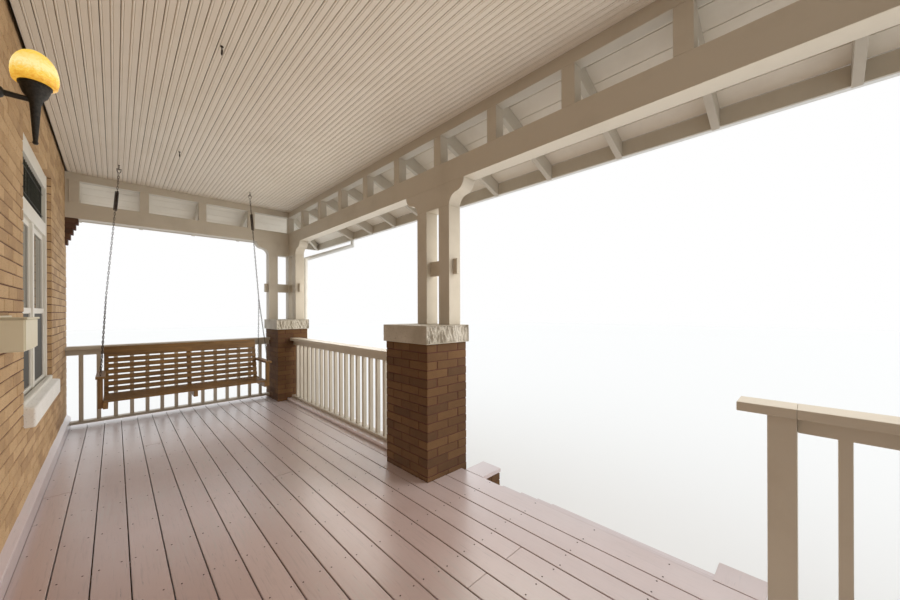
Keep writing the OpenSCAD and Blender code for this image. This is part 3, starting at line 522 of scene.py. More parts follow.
def split_stone(bm, lo, hi, rough):
    """A block whose rough sides, named by their outward direction, are split and the rest sawn."""
    counts = [max(2, round((b - a) / cell)) for a, b in zip(lo, hi)]
    seen = {}

    def corner(*key):
        if key in seen:
            return seen[key]
        p = Vector([a + (b - a) * n / c for a, b, n, c in zip(lo, hi, key, counts)])
        for axis, side in rough:
            if key[axis] != (counts[axis] if side > 0 else 0):
                continue
            at_rim = any(key[m] in (0, counts[m]) for m in range(3) if m != axis)
            swell = noise.fractal(p * 15.0, 1.0, 2.0, 4) * 0.5 + 0.5
            ridge = abs(noise.noise(Vector((p.x * 30.0, p.y * 30.0, p.z * 11.0))))
            if at_rim:
                p[axis] -= side * nibbled * (0.5 + 0.5 * noise.noise(p * 40.0))
            else:
                p[axis] -= side * deep * max(0.0, min(1.0, 0.6 * (1 - swell) + 1.1 * ridge))
        seen[key] = bm.verts.new(p)
        return seen[key]

    for axis in range(3):
        u, v = [m for m in range(3) if m != axis]
        for end in (0, counts[axis]):
            for i in range(counts[u]):
                for j in range(counts[v]):
                    quad = []
                    for across, up in ((0, 0), (1, 0), (1, 1), (0, 1)):
                        key = [0, 0, 0]
                        key[axis], key[u], key[v] = end, i + across, j + up
                        quad.append(corner(*key))
                    bm.faces.new(quad)


def piece(name, bm, material, stands_for=(), body="porch", smooth=None):
    """Turns a bmesh into a piece with its finish, which rides on a body and may stand for nodes."""
    bmesh.ops.recalc_face_normals(bm, faces=bm.faces)
    mesh = mesh_of(name, bm)
    mesh.materials.append(material)
    if smooth:
        mesh.shade_smooth()
        mesh.set_sharp_from_angle(angle=math.radians(smooth))
    obj = link(bpy.data.objects.new(name, mesh))
    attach(obj, body)
    if stands_for:
        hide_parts(*stands_for)


cap_lo, cap_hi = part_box("pier_caps")
cap_half = cap_hi.x - pier_mids[2]
to_left, to_right, to_street = (0, -1), (0, 1), (1, -1)
bm = bmesh.new()
for mid in pier_mids:
    split_stone(bm, (mid - cap_half, cap_lo.y, cap_lo.z), (mid + cap_half, cap_hi.y, cap_hi.z),
                [to_left, to_right, to_street])
stone_paint = stone_finish("painted_stone", (0.38, 0.345, 0.28), (0.51, 0.475, 0.41), (0.58, 0.55, 0.49))
piece("stone_caps", bm, stone_paint, ["pier_caps"])


# Painted timber
# Sawn timber posts, beams and boards, planed, nailed and painted off-white many times: edges are
# soft, brush marks and old drips show, and dust greys the paint in broad patches.

worn_paint, given, wanted = node_group(
    "worn_paint", "Shader", [("Vector", "Vector"), ("Paint", "Color"), ("Grime", "Color"),
                             ("Grime Amount", "Float")],
    [("Color", "Color"), ("Roughness", "Float"), ("Height", "Float")])
broad = noise_at(worn_paint, given["Vector"], 2.3, 6.0, rough=0.62)
brush = noise_at(worn_paint, given["Vector"], 70.0, 4.0)
chips = noise_at(worn_paint, given["Vector"], 26.0, 8.0, rough=0.7)
grimed = maths(worn_paint, "MULTIPLY", remap(worn_paint, broad, 0.48, 0.80), given["Grime Amount"])
chipped = remap(worn_paint, chips, 0.72, 0.75, 0.0, 0.6)
coat = mix(worn_paint, grimed, given["Paint"], given["Grime"])
worn_paint.links.new(mix(worn_paint, chipped, coat, given["Grime"]), wanted["Color"])
worn_paint.links.new(remap(worn_paint, broad, 0.0, 1.0, 0.38, 0.62), wanted["Roughness"])
worn_paint.links.new(maths(worn_paint, "MULTIPLY_ADD", brush, 0.4, chips), wanted["Height"])


def paint_finish(name, paint, grime, amount, relief=0.25):
    """Old paint of one colour, with that much grime."""
    material, tree, shader = finish(name)
    coat = use_group(tree, worn_paint, {"Vector": here(tree), "Paint": paint, "Grime": grime,
                                        "Grime Amount": amount})
    tree.links.new(coat["Roughness"], shader.inputs["Roughness"])
    coat_with(tree, shader, coat["Color"], coat["Height"], relief, 0.0015)
    return material


def eased_copy(node, material, edge=0.003, steps=2):
    """A copy of a CAD node with its triangles merged and its arrises eased, which stands for it."""
    source = nodes[node]
    name = node + "_eased"
    bm = bmesh.new()
    bm.from_mesh(source.data)
    bmesh.ops.remove_doubles(bm, verts=bm.verts, dist=1e-5)
    bmesh.ops.dissolve_limit(bm, angle_limit=0.01, verts=bm.verts, edges=bm.edges)
    mesh = mesh_of(name, bm)
    mesh.materials.clear()
    mesh.materials.append(material)
    obj = bpy.data.objects.new(name, mesh)
    round_off = obj.modifiers.new("arris", "BEVEL")
    round_off.width, round_off.segments, round_off.limit_method = edge, steps, "ANGLE"
    round_off.angle_limit = math.radians(38)
    round_off.harden_normals = False
    made = settle(name, obj, source["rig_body"])
    for face in made.data.polygons:
        face.use_smooth = False
    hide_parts(node)


trim_paint = paint_finish("off_white_paint", (0.57, 0.52, 0.435), (0.33, 0.28, 0.21), 0.35)
for node in ("columns", "bolsters", "front_beam", "end_beams", "frieze_posts", "front_plate", "end_plates",
             "rafters", "hip_rafters", "fascia", "front_railing", "stair_railing", "left_railing",
             "right_railing", "newel_post", "stair_stringers", "stair_risers"):
    eased_copy(node, trim_paint)

# A narrow strip closes each end of the frieze against the bricks
stud_lo, stud_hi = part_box("frieze_posts")
end_studs = [v.co for v in nodes["frieze_posts"].data.vertices if v.co.y > wall_face - 0.2]
stud_near = max(v.y for v in end_studs)
stud_in, stud_out = min(v.x for v in end_studs if v.x > 0), max(v.x for v in end_studs)
slit, strip_in = 0.0003, 0.008
bm = bmesh.new()
for side in (-1, 1):
    x0, x1 = sorted((side * (stud_in + strip_in), side * (stud_out - strip_in)))
    bar(bm, (x0, stud_near + slit, stud_lo.z + slit), (x1, wall_face - proud - slit, stud_hi.z - slit))
piece("frieze_strips", bm, trim_paint)


# Beaded ceiling
# Narrow tongued boards nailed up along the porch, each with one bead at its joint and one down
# its middle, under many coats of warm off-white; every groove is darkened with painted shade, near black
# along the joints that have opened.

ceiling_lo, ceiling_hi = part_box("ceiling")
board_pitch, board_first = 0.0851, -0.0091
bead, quirk, seam_deep, quirk_deep, lip, bead_root = 0.009, 0.0035, 0.007, 0.0035, 0.0025, 0.0015
half_turn = [math.pi * i / 6 for i in range(7)]
arc = [(bead / 2 * (1 - math.cos(a)), bead_root - lip * math.sin(a)) for a in half_turn]


def ceiling_profile(span):
    """The boards' underside from the wall outward, as (distance from the wall, height)."""
    points = []
    d = board_first - board_pitch
    while d < span + board_pitch:
        for start, deep in ((d, seam_deep), (d + board_pitch / 2, quirk_deep)):
            bead_at = start + quirk / 2
            points += [(start - quirk / 2, 0.0), (start - quirk / 4, deep), (start + quirk / 4, deep)]
            points += [(bead_at + u, v) for u, v in arc]
            points += [(bead_at + bead + quirk * 0.4, lip), (bead_at + bead + quirk, 0.0)]
        d += board_pitch
    return [(0.0, 0.0)] + [p for p in points if 0.0 < p[0] < span] + [(span, 0.0)]


under = ceiling_profile(ceiling_hi.y - ceiling_lo.y)
outline = [(d, ceiling_lo.z + h) for d, h in under] + [(under[-1][0], ceiling_hi.z), (0.0, ceiling_hi.z)]
bm = bmesh.new()
ends = [[bm.verts.new((x, ceiling_hi.y - d, z)) for d, z in outline] for x in (ceiling_lo.x, ceiling_hi.x)]
for i, (a, b) in enumerate(zip(*ends)):
    bm.faces.new((a, b, ends[1][i - 1], ends[0][i - 1]))
for end in ends:
    bm.faces.new(end)

ceiling_paint, tree, shader = finish("ceiling_paint", roughness=0.5)
place = here(tree)
coat = use_group(tree, worn_paint, {"Vector": place, "Paint": (0.80, 0.745, 0.66),
                                    "Grime": (0.62, 0.54, 0.43), "Grime Amount": 0.3})
# Painted shade: every face sunk below the boards' faces darkens, near black along the opened joints
groove_shade_mask = remap(tree, axis_of(tree, place, "Z"), ceiling_lo.z + 0.0012, ceiling_lo.z + 0.005)
grooves_per_metre = 23.5
opened = noise_at(tree, stretched(tree, place, (0.55, grooves_per_metre, 1.0)), 1.0, 2.0)
seam_shade = ramp(tree, opened, [(0.38, (0.42, 0.35, 0.27)), (0.52, (0.14, 0.10, 0.07)),
                                (0.62, (0.02, 0.014, 0.010))])
coat_with(tree, shader, mix(tree, groove_shade_mask, coat["Color"], seam_shade), coat["Height"], 0.15, 0.001)
piece("beaded_ceiling", bm, ceiling_paint, ["ceiling"])


# Deck joists
# Sawn joists of bare timber on the foundation, 16 inches apart, that carry the planks and take
# their nails.

def wood_finish(name, light, dark, along, roughness=0.45):
    """Timber with its grain along one axis."""
    material, tree, shader = finish(name, roughness=roughness)
    place = here(tree)
    scale = [30.0, 30.0, 30.0]
    scale[along] = 1.8
    grain = noise_at(tree, stretched(tree, place, scale), 1.6, 10.0, rough=0.65, warp=0.6)
    figure = maths(tree, "MULTIPLY_ADD", noise_at(tree, place, 3.0, 4.0), 0.35, grain)
    coat_with(tree, shader, ramp(tree, figure, [(0.45, dark), (0.85, light)]), grain, 0.3, 0.0015)
    return material


joists_lo, joists_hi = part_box("deck_joists")
joist_t, joist_pitch = 0.038, 0.406
joist_count = round((joists_hi.x - joists_lo.x - joist_t) / joist_pitch) + 1
joists_x = [joists_lo.x + joist_t / 2 + joist_pitch * i for i in range(joist_count)]
dress("deck_joists", wood_finish("bare_timber", (0.52, 0.38, 0.24), (0.34, 0.23, 0.14), 1, roughness=0.7))


# Deck planks
# Painted planks 140 mm wide laid along the porch with open 5 mm joints, cut round the piers and
# face-nailed in pairs to every joist; a wider plank edges the deck, a board runs out on each side
# of the stair, and curb boards lie under the railings and along the foot of the house wall.

plank_t, plank_pitch, plank_gap, seam_first = 0.032, 0.1451, 0.0054, 0.034
deck_solid = [v.co for v in nodes["deck_boards"].data.vertices]
end_x = max(v.x for v in deck_solid)
end_strip = [v for v in deck_solid if abs(v.x) > end_x - pier_w - 0.01 and v.z > deck_top - 0.001]
deck_edge = wall_face - min(v.y for v in end_strip)
pier_in = wall_face - pier_hi.y - slit
butt_rows = {0: 1.465, 2: -2.02, 4: 2.27, 7: -2.83, 9: 0.66, 11: -1.200, 13: -1.208}
butt_gap = 0.0012
rng = random.Random(7)
nailed = []
planks = bmesh.new()
planks.verts.layers.float.new("tone")


def join_rings(bm, one, other, tone, edge):
    """Joins two like rings of corners into a closed board of one tone, and eases its arrises."""
    tones = bm.verts.layers.float["tone"]
    for v in one + other:
        v[tones] = tone
    count = len(one)
    made = [bm.faces.new((one[i - 1], one[i], other[i], other[i - 1])) for i in range(count)]
    made += [bm.faces.new(other), bm.faces.new(one[::-1])]
    bmesh.ops.recalc_face_normals(bm, faces=made)
    arrises = list(dict.fromkeys(e for f in made for e in f.edges))
    bmesh.ops.bevel(bm, geom=arrises, offset=edge, segments=2, affect="EDGES")


def board(bm, outline, z0, z1, edge=0.0022):
    """A board drawn by its outline in plan, as (along the porch, out from the wall)."""
    tone, sag = rng.random(), rng.uniform(-0.0006, 0.0)
    low, high = [[bm.verts.new((x, wall_face - d, z)) for x, d in outline] for z in (z0, z1 + sag)]
    join_rings(bm, low, high, tone, edge)


def square(x0, x1, d0, d1):
    """The outline in plan of a plain board."""
    return [(x0, d0), (x1, d0), (x1, d1), (x0, d1)]


def plank(x0, x1, d0, d1):
    """A deck plank, which is nailed to each joist that it crosses."""
    board(planks, square(x0, x1, d0, d1), deck_top - plank_t, deck_top)
    nailed.append((x0, x1, wall_face - d1, wall_face - d0))


piers_x = [(m - pier_w / 2 - slit, m + pier_w / 2 + slit) for m in pier_mids]
plank(-end_x, end_x, 0.0, seam_first - plank_gap / 2)
row, d1 = 0, 0.0
while d1 < deck_edge:
    d0 = seam_first + plank_pitch * row + plank_gap / 2
    d1 = d0 + plank_pitch - plank_gap
    if d1 > deck_edge - 0.05:
        d1 = deck_edge
    if d1 <= pier_in:
        cuts = [-end_x, butt_rows[row], end_x] if row in butt_rows else [-end_x, end_x]
        for a, b in zip(cuts, cuts[1:]):
            plank(a + (butt_gap if a > -end_x else 0), b - (butt_gap if b < end_x else 0), d0, d1)
    elif d0 < pier_in:
        (a0, b0), (a1, b1), (a2, _) = piers_x
        notched = [(-end_x, d0), (end_x, d0), (end_x, pier_in), (a2, pier_in), (a2, d1), (b1, d1),
                   (b1, pier_in), (a1, pier_in), (a1, d1), (b0, d1), (b0, pier_in), (-end_x, pier_in)]
        board(planks, notched, deck_top - plank_t, deck_top)
        nailed.append((b0, a1, wall_face - d1, wall_face - d0))
    else:
        for (a0, b0), (a1, b1) in zip(piers_x, piers_x[1:]):
            plank(b0 + butt_gap / 2, a1 - butt_gap / 2, d0, d1)
    row += 1

# The curb boards, and the board at the wall with its top sloping up to the bricks
curb_w, curb_h, lifted, wall_board_tone = 0.222, 0.038, 0.0004, 0.55
for rail in ("stair_railing", "front_railing"):
    rail_lo, rail_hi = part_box(rail)
    mid = wall_face - (rail_lo.y + rail_hi.y) / 2
    board(planks, square(rail_lo.x, rail_hi.x, mid - curb_w / 2, mid + curb_w / 2), deck_top + lifted,
          deck_top + curb_h, edge=0.003)
wall_board = [(0.0, lifted), (0.038, lifted), (0.038, 0.105), (0.0, 0.142)]
for span in ((-end_x, door_lo.x), (door_hi.x, end_x)):
    one, other = [[planks.verts.new((x, wall_face - d, deck_top + h)) for d, h in wall_board] for x in span]
    join_rings(planks, one, other, wall_board_tone, 0.004)

# The boards beside the stair, whose grain runs out from the porch
wing_w = 0.195
wings = bmesh.new()
wings.verts.layers.float.new("tone")
for x0 in (stair_lo.x - slit - wing_w, stair_hi.x + slit):
    x1 = x0 + wing_w
    reach = max(wall_face - v.y for v in deck_solid if x0 - 0.01 < v.x < x1 + 0.01)
    board(wings, square(x0, x1, deck_edge + 0.003, reach), deck_top - plank_t, deck_top)


def deck_finish(name, along):
    """Mauve floor paint, worn through along the grain and paled by painted sunlight and sheen towards the
    open sides, on boards that run along that axis.
    """
    material, tree, shader = finish(name)
    place, tone = here(tree), tone_of(tree)
    own = add(tree, "ShaderNodeCombineXYZ", {"X": tone, "Z": tone})
    away = add(tree, "ShaderNodeVectorMath", {0: own.outputs[0], 3: 37.0}, operation="SCALE")
    beside = add(tree, "ShaderNodeVectorMath", {0: place, 1: away.outputs[0]}, operation="ADD").outputs[0]
    scale = [26.0, 26.0, 26.0]
    scale[along] = 1.6
    grain = noise_at(tree, stretched(tree, beside, scale), 3.0, 9.0, rough=0.62, warp=0.4)
    splits = noise_at(tree, stretched(tree, beside, [c * 2.2 for c in scale]), 3.0, 2.0, warp=0.8)
    worn = noise_at(tree, place, 0.9, 7.0, rough=0.6)
    scuff = noise_at(tree, place, 7.0, 9.0, rough=0.75)
    paint = ramp(tree, tone, [(0.0, (0.400, 0.248, 0.212)), (0.5, (0.450, 0.292, 0.256)),
                              (1.0, (0.500, 0.342, 0.308))])
    thin = maths(tree, "MULTIPLY", worn, grain)
    paint = mix(tree, remap(tree, thin, 0.27, 0.40, 0.0, 0.75), paint, (0.37, 0.300, 0.262))
    paint = mix(tree, remap(tree, grain, 0.30, 0.46, 0.40, 0.0), paint, (0.17, 0.095, 0.080))
    paint = mix(tree, remap(tree, splits, 0.265, 0.30, 0.75, 0.0), paint, (0.055, 0.030, 0.024))
    paint = mix(tree, remap(tree, scuff, 0.62, 0.76, 0.0, 0.35), paint, (0.56, 0.47, 0.43))
    # Painted sunlight and sheen: in worn patches the paint pales to a bluish white towards the open front and
    # the far end
    across, out = axis_of(tree, place, "X"), axis_of(tree, place, "Y")
    open_edge = remap(tree, out, wall_face - 0.5, wall_face - 2.5, 0.0, 1.15, "SMOOTHSTEP")
    open_end = remap(tree, across, 0.2, 3.4, 0.0, 1.05, "SMOOTHSTEP")
    painted_sun_and_sheen = maths(tree, "MULTIPLY", maths(tree, "MAXIMUM", open_edge, open_end), worn)
    coat_with(tree, shader, mix(tree, painted_sun_and_sheen, paint, (0.72, 0.635, 0.64)), grain, 0.22, 0.002)
    tree.links.new(remap(tree, scuff, 0.3, 0.7, 0.26, 0.48), shader.inputs["Roughness"])
    for key, value in (("Coat Weight", 1.0), ("Coat Roughness", 0.30), ("Coat IOR", 1.9),
                       ("Sheen Weight", 0.45), ("Sheen Roughness", 0.4),
                       ("Sheen Tint", (0.84, 0.90, 1.0, 1.0))):
        shader.inputs[key].default_value = value
    return material


deck_paint = deck_finish("worn_and_sunlit_deck_paint", 0)
piece("deck_planks", planks, deck_paint, ["deck_boards"])
piece("wing_boards", wings, deck_finish("worn_and_sunlit_wing_paint", 1))
eased_copy("stair_treads", deck_paint, edge=0.006, steps=3)

# Sunk nails, two to each plank over each joist
nail_in, slip_x, slip_y = 0.026, 0.012, 0.006
nail_places = []
for x in joists_x:
    for x0, x1, y0, y1 in nailed:
        if x0 + 0.01 < x < x1 - 0.01 and y1 - y0 > 0.06:
            for y in (y0 + nail_in, y1 - nail_in):
                nail_x, nail_y = x + rng.uniform(-slip_x, slip_x), y + rng.uniform(-slip_y, slip_y)
                nail_places.append(((nail_x, nail_y, deck_top + slit),))
bm = bmesh.new()
bmesh.ops.create_cone(bm, cap_ends=True, segments=8, radius1=0.0042, radius2=0.0036, depth=0.001)
nail = bpy.data.objects.new("pattern_nail", mesh_of("pattern_nail", bm))
rust = finish("nail_rust", roughness=0.8, color=(0.055, 0.030, 0.022))[0]
lay("deck_nails", nail, nail_places, rust, seed=2)


# Roof
# A hipped roof: rafters carry painted boards that show from below, with asphalt shingles above.
# The boards run along each eave and end on the hips, and the shingles lap up each slope in courses.

boards_lo, boards_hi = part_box("roof_boards")
eave_x, eave_y, eave_z = boards_hi.x, boards_lo.y, boards_lo.z
eave_d = wall_face - eave_y
slope, board_t = 5 / 12, 0.020
roof_board, roof_gap, wall_gap = 0.140, 0.004, 0.004
level_run = 1 / math.sqrt(1 + slope * slope)


def slope_point(side, inward, along, lift):
    """A point of a roof slope, by its distance in from the eave; side 0 is the front."""
    z = eave_z + slope * inward + lift
    if side == 0:
        return along, eave_y + inward, z
    return side * (eave_x - inward), wall_face - along, z


def slope_ends(side, inward):
    """Where a level line on a slope starts and ends: at its hips, or at the wall and a hip."""
    return (inward - eave_x, eave_x - inward) if side == 0 else (0.0, eave_d - inward)


def slab(bm, side, rows):
    """A board or a shingle from two level lines, each as (inward, start, end, underside, top)."""
    corners = [bm.verts.new(slope_point(side, inward, along, lift))
               for inward, start, end, low, high in rows for along in (start, end) for lift in (low, high)]
    a, b, c, d, e, f, g, h = corners
    for quad in ((a, b, d, c), (e, g, h, f), (a, c, g, e), (b, f, h, d), (a, e, f, b), (c, d, h, g)):
        bm.faces.new(quad)
    return corners


bm = bmesh.new()
for side in (0, -1, 1):
    r = 0.0
    while r < eave_d - 0.02:
        r1 = min(r + roof_board * level_run - roof_gap, eave_d - wall_gap)
        slab(bm, side, [(inward, *slope_ends(side, inward), slit, board_t) for inward in (r, r1)])
        r += roof_board * level_run
roof_white = paint_finish("roof_board_paint", (0.80, 0.74, 0.64), (0.50, 0.43, 0.33), 0.35)
piece("roof_planks", bm, roof_white, ["roof_boards"])

granules, tree, shader = finish("shingle_granules", roughness=0.95)
place = here(tree)
grains = add(tree, "ShaderNodeTexVoronoi", {"Vector": place, "Scale": 420.0})
shade = maths(tree, "MULTIPLY_ADD", tone_of(tree), 0.5, noise_at(tree, place, 2.0, 6.0))
base = ramp(tree, shade, [(0.3, (0.070, 0.062, 0.056)), (0.65, (0.125, 0.108, 0.095)),
                          (0.95, (0.19, 0.165, 0.14))])
speckled = mix(tree, 0.45, base, grains.outputs["Color"], "OVERLAY")
coat_with(tree, shader, speckled, grains.outputs["Distance"], 0.5, 0.001)

course, tab_w, tab_gap = 0.127, 0.305, 0.008
butt_t, head_t, tab_curl = 0.014, 0.008, 0.0006
tab_foot = board_t + slit
bm = bmesh.new()
tones = bm.verts.layers.float.new("tone")
rng = random.Random(21)
for side in (0, -1, 1):
    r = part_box("shingles")[0].y - eave_y
    while r < eave_d - 0.03:
        r1 = min(r + course * level_run, eave_d - wall_gap)
        (start0, end0), (start1, end1) = slope_ends(side, r), slope_ends(side, r1)
        s = start0 - rng.uniform(0, tab_w)
        while s < end0:
            a, b = s + tab_gap / 2, s + tab_w - tab_gap / 2
            a0, b0, a1, b1 = max(a, start0), min(b, end0), max(a, start1), min(b, end1)
            if b0 - a0 > 0.02:
                if b1 <= a1:
                    a1 = min(max(a0, start1), end1)
                    b1 = a1 + 0.001
                tone, curl = rng.random(), rng.uniform(-tab_curl, tab_curl)
                for v in slab(bm, side, [(r, a0, b0, tab_foot, tab_foot + butt_t + curl),
                                         (r1, a1, b1, tab_foot, tab_foot + head_t + curl)]):
                    v[tones] = tone
            s += tab_w
        r += course * level_run
piece("shingle_tabs", bm, granules)
for node in ("shingles", "hip_caps"):
    dress(node, granules)


# Gutter and downspout
# White enamelled sheet, rolled to an ogee gutter that hangs along the front eave, with a round
# downspout that leads the water down from it.

enamel, tree, shader = finish("white_enamel", roughness=0.35)
coat = use_group(tree, worn_paint, {"Vector": here(tree), "Paint": (0.80, 0.80, 0.77),
                                    "Grime": (0.42, 0.40, 0.35), "Grime Amount": 0.35})
coat_with(tree, shader, coat["Color"])
for node in ("gutter", "downspout"):
    dress(node, enamel)


# Window
# A wide window of painted wood on a stone sill, two pairs of sliding sashes under one leaded transom.
# Casing boards nailed to the frame inside the brick reveal hold storm panes above and insect screens
# below.

window_white = paint_finish("window_paint", (0.80, 0.78, 0.72), (0.50, 0.46, 0.39), 0.2, relief=0.12)
for node in ("window_frame", "window_sashes"):
    eased_copy(node, window_white, edge=0.0025)

casing_face, casing_front, casing_back = 0.060, wall_face + 0.025, window_lo.y - slit
head_face, transom_foot, transom_head = 0.150, deck_top + 2.006, deck_top + 2.116
middle_x, window_foot = (window_lo.x + window_hi.x) / 2, window_lo.z
inner_x0, inner_x1 = window_lo.x + casing_face, window_hi.x - casing_face
half_lights = [(inner_x0, middle_x - casing_face / 2), (middle_x + casing_face / 2, inner_x1)]
shy = 0.001
bm = bmesh.new()
for x0, x1 in ((window_lo.x + shy, inner_x0), (inner_x1, window_hi.x - shy)):
    bar(bm, (x0, casing_front, window_foot + shy), (x1, casing_back, window_hi.z - shy))
bar(bm, (inner_x0 + slit, casing_front + 2 * shy, window_hi.z - head_face),
    (inner_x1 - slit, casing_back, window_hi.z - shy))
bar(bm, (inner_x0 + slit, casing_front + shy, transom_foot), (inner_x1 - slit, casing_back, transom_head))
bar(bm, (half_lights[0][1], casing_front + 3 * shy, window_foot + shy),
    (half_lights[1][0], casing_back, transom_foot - slit))
bar(bm, (window_lo.x + shy, wall_face - 0.006, window_foot - 0.012),
    (window_hi.x - shy, casing_front - slit, window_foot + 0.022), edge=0.004, steps=2)

# Two storm sashes in each half, the upper one behind the lower
storm_front, storm_back, stile, rail = casing_front + 0.012, casing_back - 0.004, 0.028, 0.040
meeting, lap, upper_set = deck_top + 1.345, 0.022, 0.008
for x0, x1 in half_lights:
    for y0, z0, z1 in ((storm_front, window_foot + shy, meeting + lap),
                       (storm_front + upper_set, meeting - lap, transom_foot)):
        for a, b in ((x0 + slit, x0 + stile), (x1 - stile, x1 - slit)):
            bar(bm, (a, y0, z0), (b, storm_back, z1 - slit), edge=0.0015)
        for c, d in ((z0, z0 + rail), (z1 - rail, z1 - slit)):
            bar(bm, (x0 + stile, y0 + shy, c), (x1 - stile, storm_back, d), edge=0.0015)
piece("window_casing", bm, window_white)


def fill_halves(bm, y0, y1, z0, z1):
    """A thin sheet in each half of the window, held by its storm sash."""
    for x0, x1 in half_lights:
        bar(bm, (x0 + stile, y0, z0), (x1 - stile, y1, z1), edge=0.0004)


screen, tree, shader = finish("insect_screen", roughness=0.7)
place = here(tree)
wires_per_metre = 620.0
woven = stretched(tree, place, (wires_per_metre, 1.0, wires_per_metre))
wires = add(tree, "ShaderNodeTexChecker", {"Vector": woven, "Scale": 1.0})
weave = mix(tree, wires.outputs["Fac"], (0.045, 0.045, 0.040), (0.085, 0.085, 0.076))
coat_with(tree, shader, mix(tree, noise_at(tree, place, 3.0, 3.0), weave, (0.060, 0.060, 0.054)))
bm = bmesh.new()
fill_halves(bm, storm_front + 0.010, storm_front + 0.012, window_foot + 0.036, meeting - 0.014)
piece("insect_screens", bm, screen)

# The panes are tinted near black, painted shade for the unlit room behind them
room_shade_glass, tree, shader = finish("window_glass", roughness=0.02, color=(0.10, 0.11, 0.10))
shader.inputs["Transmission Weight"].default_value = 0.55
dress("window_glass", room_shade_glass)
bm = bmesh.new()
fill_halves(bm, storm_front + 0.018, storm_front + 0.021, meeting + 0.014, transom_foot - 0.036)
piece("storm_panes", bm, room_shade_glass)

# The transom's leaded lights: upright strips of dark green and pale glass between lead bars
transom_z0, transom_z1 = transom_head + slit, window_hi.z - head_face - slit
lead_pitch, lead_w = 0.062, 0.007
strips = round((inner_x1 - inner_x0) / lead_pitch)
strip_w = (inner_x1 - inner_x0) / strips
levels = [transom_z0, transom_z0 + lead_pitch, transom_z1 - lead_pitch, transom_z1]
pane_y = casing_front + 0.024
rng = random.Random(4)
bm = bmesh.new()
tones = bm.verts.layers.float.new("tone")
for i in range(strips):
    x = inner_x0 + strip_w * i
    for z0, z1 in zip(levels, levels[1:]):
        before = set(bm.verts)
        bar(bm, (x, pane_y, z0), (inner_x0 + strip_w * (i + 1), pane_y + 0.003, z1), edge=0.0006)
        tone = rng.random() * 0.6 + (0.4 if i % 3 == 1 else 0.0)
        for v in set(bm.verts) - before:
            v[tones] = tone
stained, tree, shader = finish("stained_glass", roughness=0.12)
streaks = noise_at(tree, stretched(tree, here(tree), (60, 60, 9)), 1.0, 5.0)
tint = ramp(tree, tone_of(tree), [(0.0, (0.012, 0.022, 0.012)), (0.55, (0.035, 0.055, 0.032)),
                                  (0.8, (0.30, 0.29, 0.20))])
coat_with(tree, shader, mix(tree, streaks, tint, (0.05, 0.06, 0.035)), streaks, 0.3, 0.002)
piece("transom_glass", bm, stained)
bm = bmesh.new()
for i in range(1, strips):
    x = inner_x0 + strip_w * i
    bar(bm, (x - lead_w / 2, pane_y - 0.004, transom_z0),
        (x + lead_w / 2, pane_y - slit, transom_z1), edge=0.0014)
for z in levels[1:-1]:
    bar(bm, (inner_x0, pane_y - 0.0055, z - lead_w / 2),
        (inner_x1, pane_y - 0.0042, z + lead_w / 2), edge=0.0005)
lead = finish("lead_bars", roughness=0.55, metallic=0.6, color=(0.055, 0.055, 0.052))[0]
piece("transom_leads", bm, lead)
sill_paint = stone_finish("painted_sill", (0.82, 0.81, 0.78), (0.89, 0.885, 0.87), (0.92, 0.915, 0.905))
eased_copy("window_sill", sill_paint, edge=0.012, steps=4)


# Front door
# A panelled door of stained timber, joined from rails, stiles and panels, and shut in a painted frame
# that is nailed into the wall's opening.

door_wood = wood_finish("stained_door", (0.24, 0.105, 0.045), (0.085, 0.034, 0.016), 2)
dress("front_door", door_wood)
eased_copy("door_frame", trim_paint, edge=0.0025)


# Mailbox
# A letter box of folded sheet steel, enamelled cream and screwed to the wall, with a hinged lid
# whose rolled lip overhangs its front and ends.

def rod(bm, path, radius, sides=8, closed=False):
    """A round bar along a path; the radius is one value, or one for each point."""
    count = len(path)
    path = [Vector(p) for p in path]
    radii = list(radius) if isinstance(radius, (list, tuple)) else [radius] * count
    rings, across = [], None
    for i, p in enumerate(path):
        before = path[i - 1] if closed or i else p
        after = path[(i + 1) % count] if closed or i < count - 1 else p
        along = (after - before).normalized()
        across = (along.orthogonal() if across is None else across - along * across.dot(along)).normalized()
        third = along.cross(across)
        turns = [2 * math.pi * k / sides for k in range(sides)]
        spokes = [across * math.cos(a) + third * math.sin(a) for a in turns]
        rings.append([bm.verts.new(p + spoke * radii[i]) for spoke in spokes])
    for i in range(count if closed else count - 1):
        low, high = rings[i], rings[(i + 1) % count]
        for k in range(sides):
            bm.faces.new((low[k], low[(k + 1) % sides], high[(k + 1) % sides], high[k]))
    if not closed:
        bm.faces.new(rings[0][::-1])
        bm.faces.new(rings[-1])


box_lo, box_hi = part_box("mailbox")
lid_t, lid_foot, overhang = 0.005, box_hi.z - 0.016, 0.007
lip_r, hinge_r, hinge_in = 0.0045, 0.0065, 0.03
bm = bmesh.new()
bar(bm, (box_lo.x + overhang, box_lo.y + overhang, box_lo.z),
    (box_hi.x - overhang, box_hi.y, lid_foot - 0.002), edge=0.006, steps=3)
bar(bm, (box_lo.x, box_lo.y, lid_foot), (box_hi.x, box_hi.y - 0.012, lid_foot + lid_t), edge=0.002, steps=2)
rod(bm, [(x, box_lo.y + lip_r, lid_foot - 0.001) for x in (box_lo.x, box_hi.x)], lip_r)
hinge_ends = (box_lo.x + hinge_in, box_hi.x - hinge_in)
rod(bm, [(x, box_hi.y - 0.007, lid_foot + 0.008) for x in hinge_ends], hinge_r)
cream = paint_finish("cream_enamel", (0.74, 0.69, 0.53), (0.45, 0.38, 0.26), 0.2, relief=0.1)
piece("mailbox_sheet", bm, cream, ["mailbox"], smooth=30)


# Wall lamp
# A wrought-iron torch screwed to the wall beside the door: a round plate and arm, a stem that
# tapers to a small drop, and a cup that holds a moulded amber glass with rings near its foot.

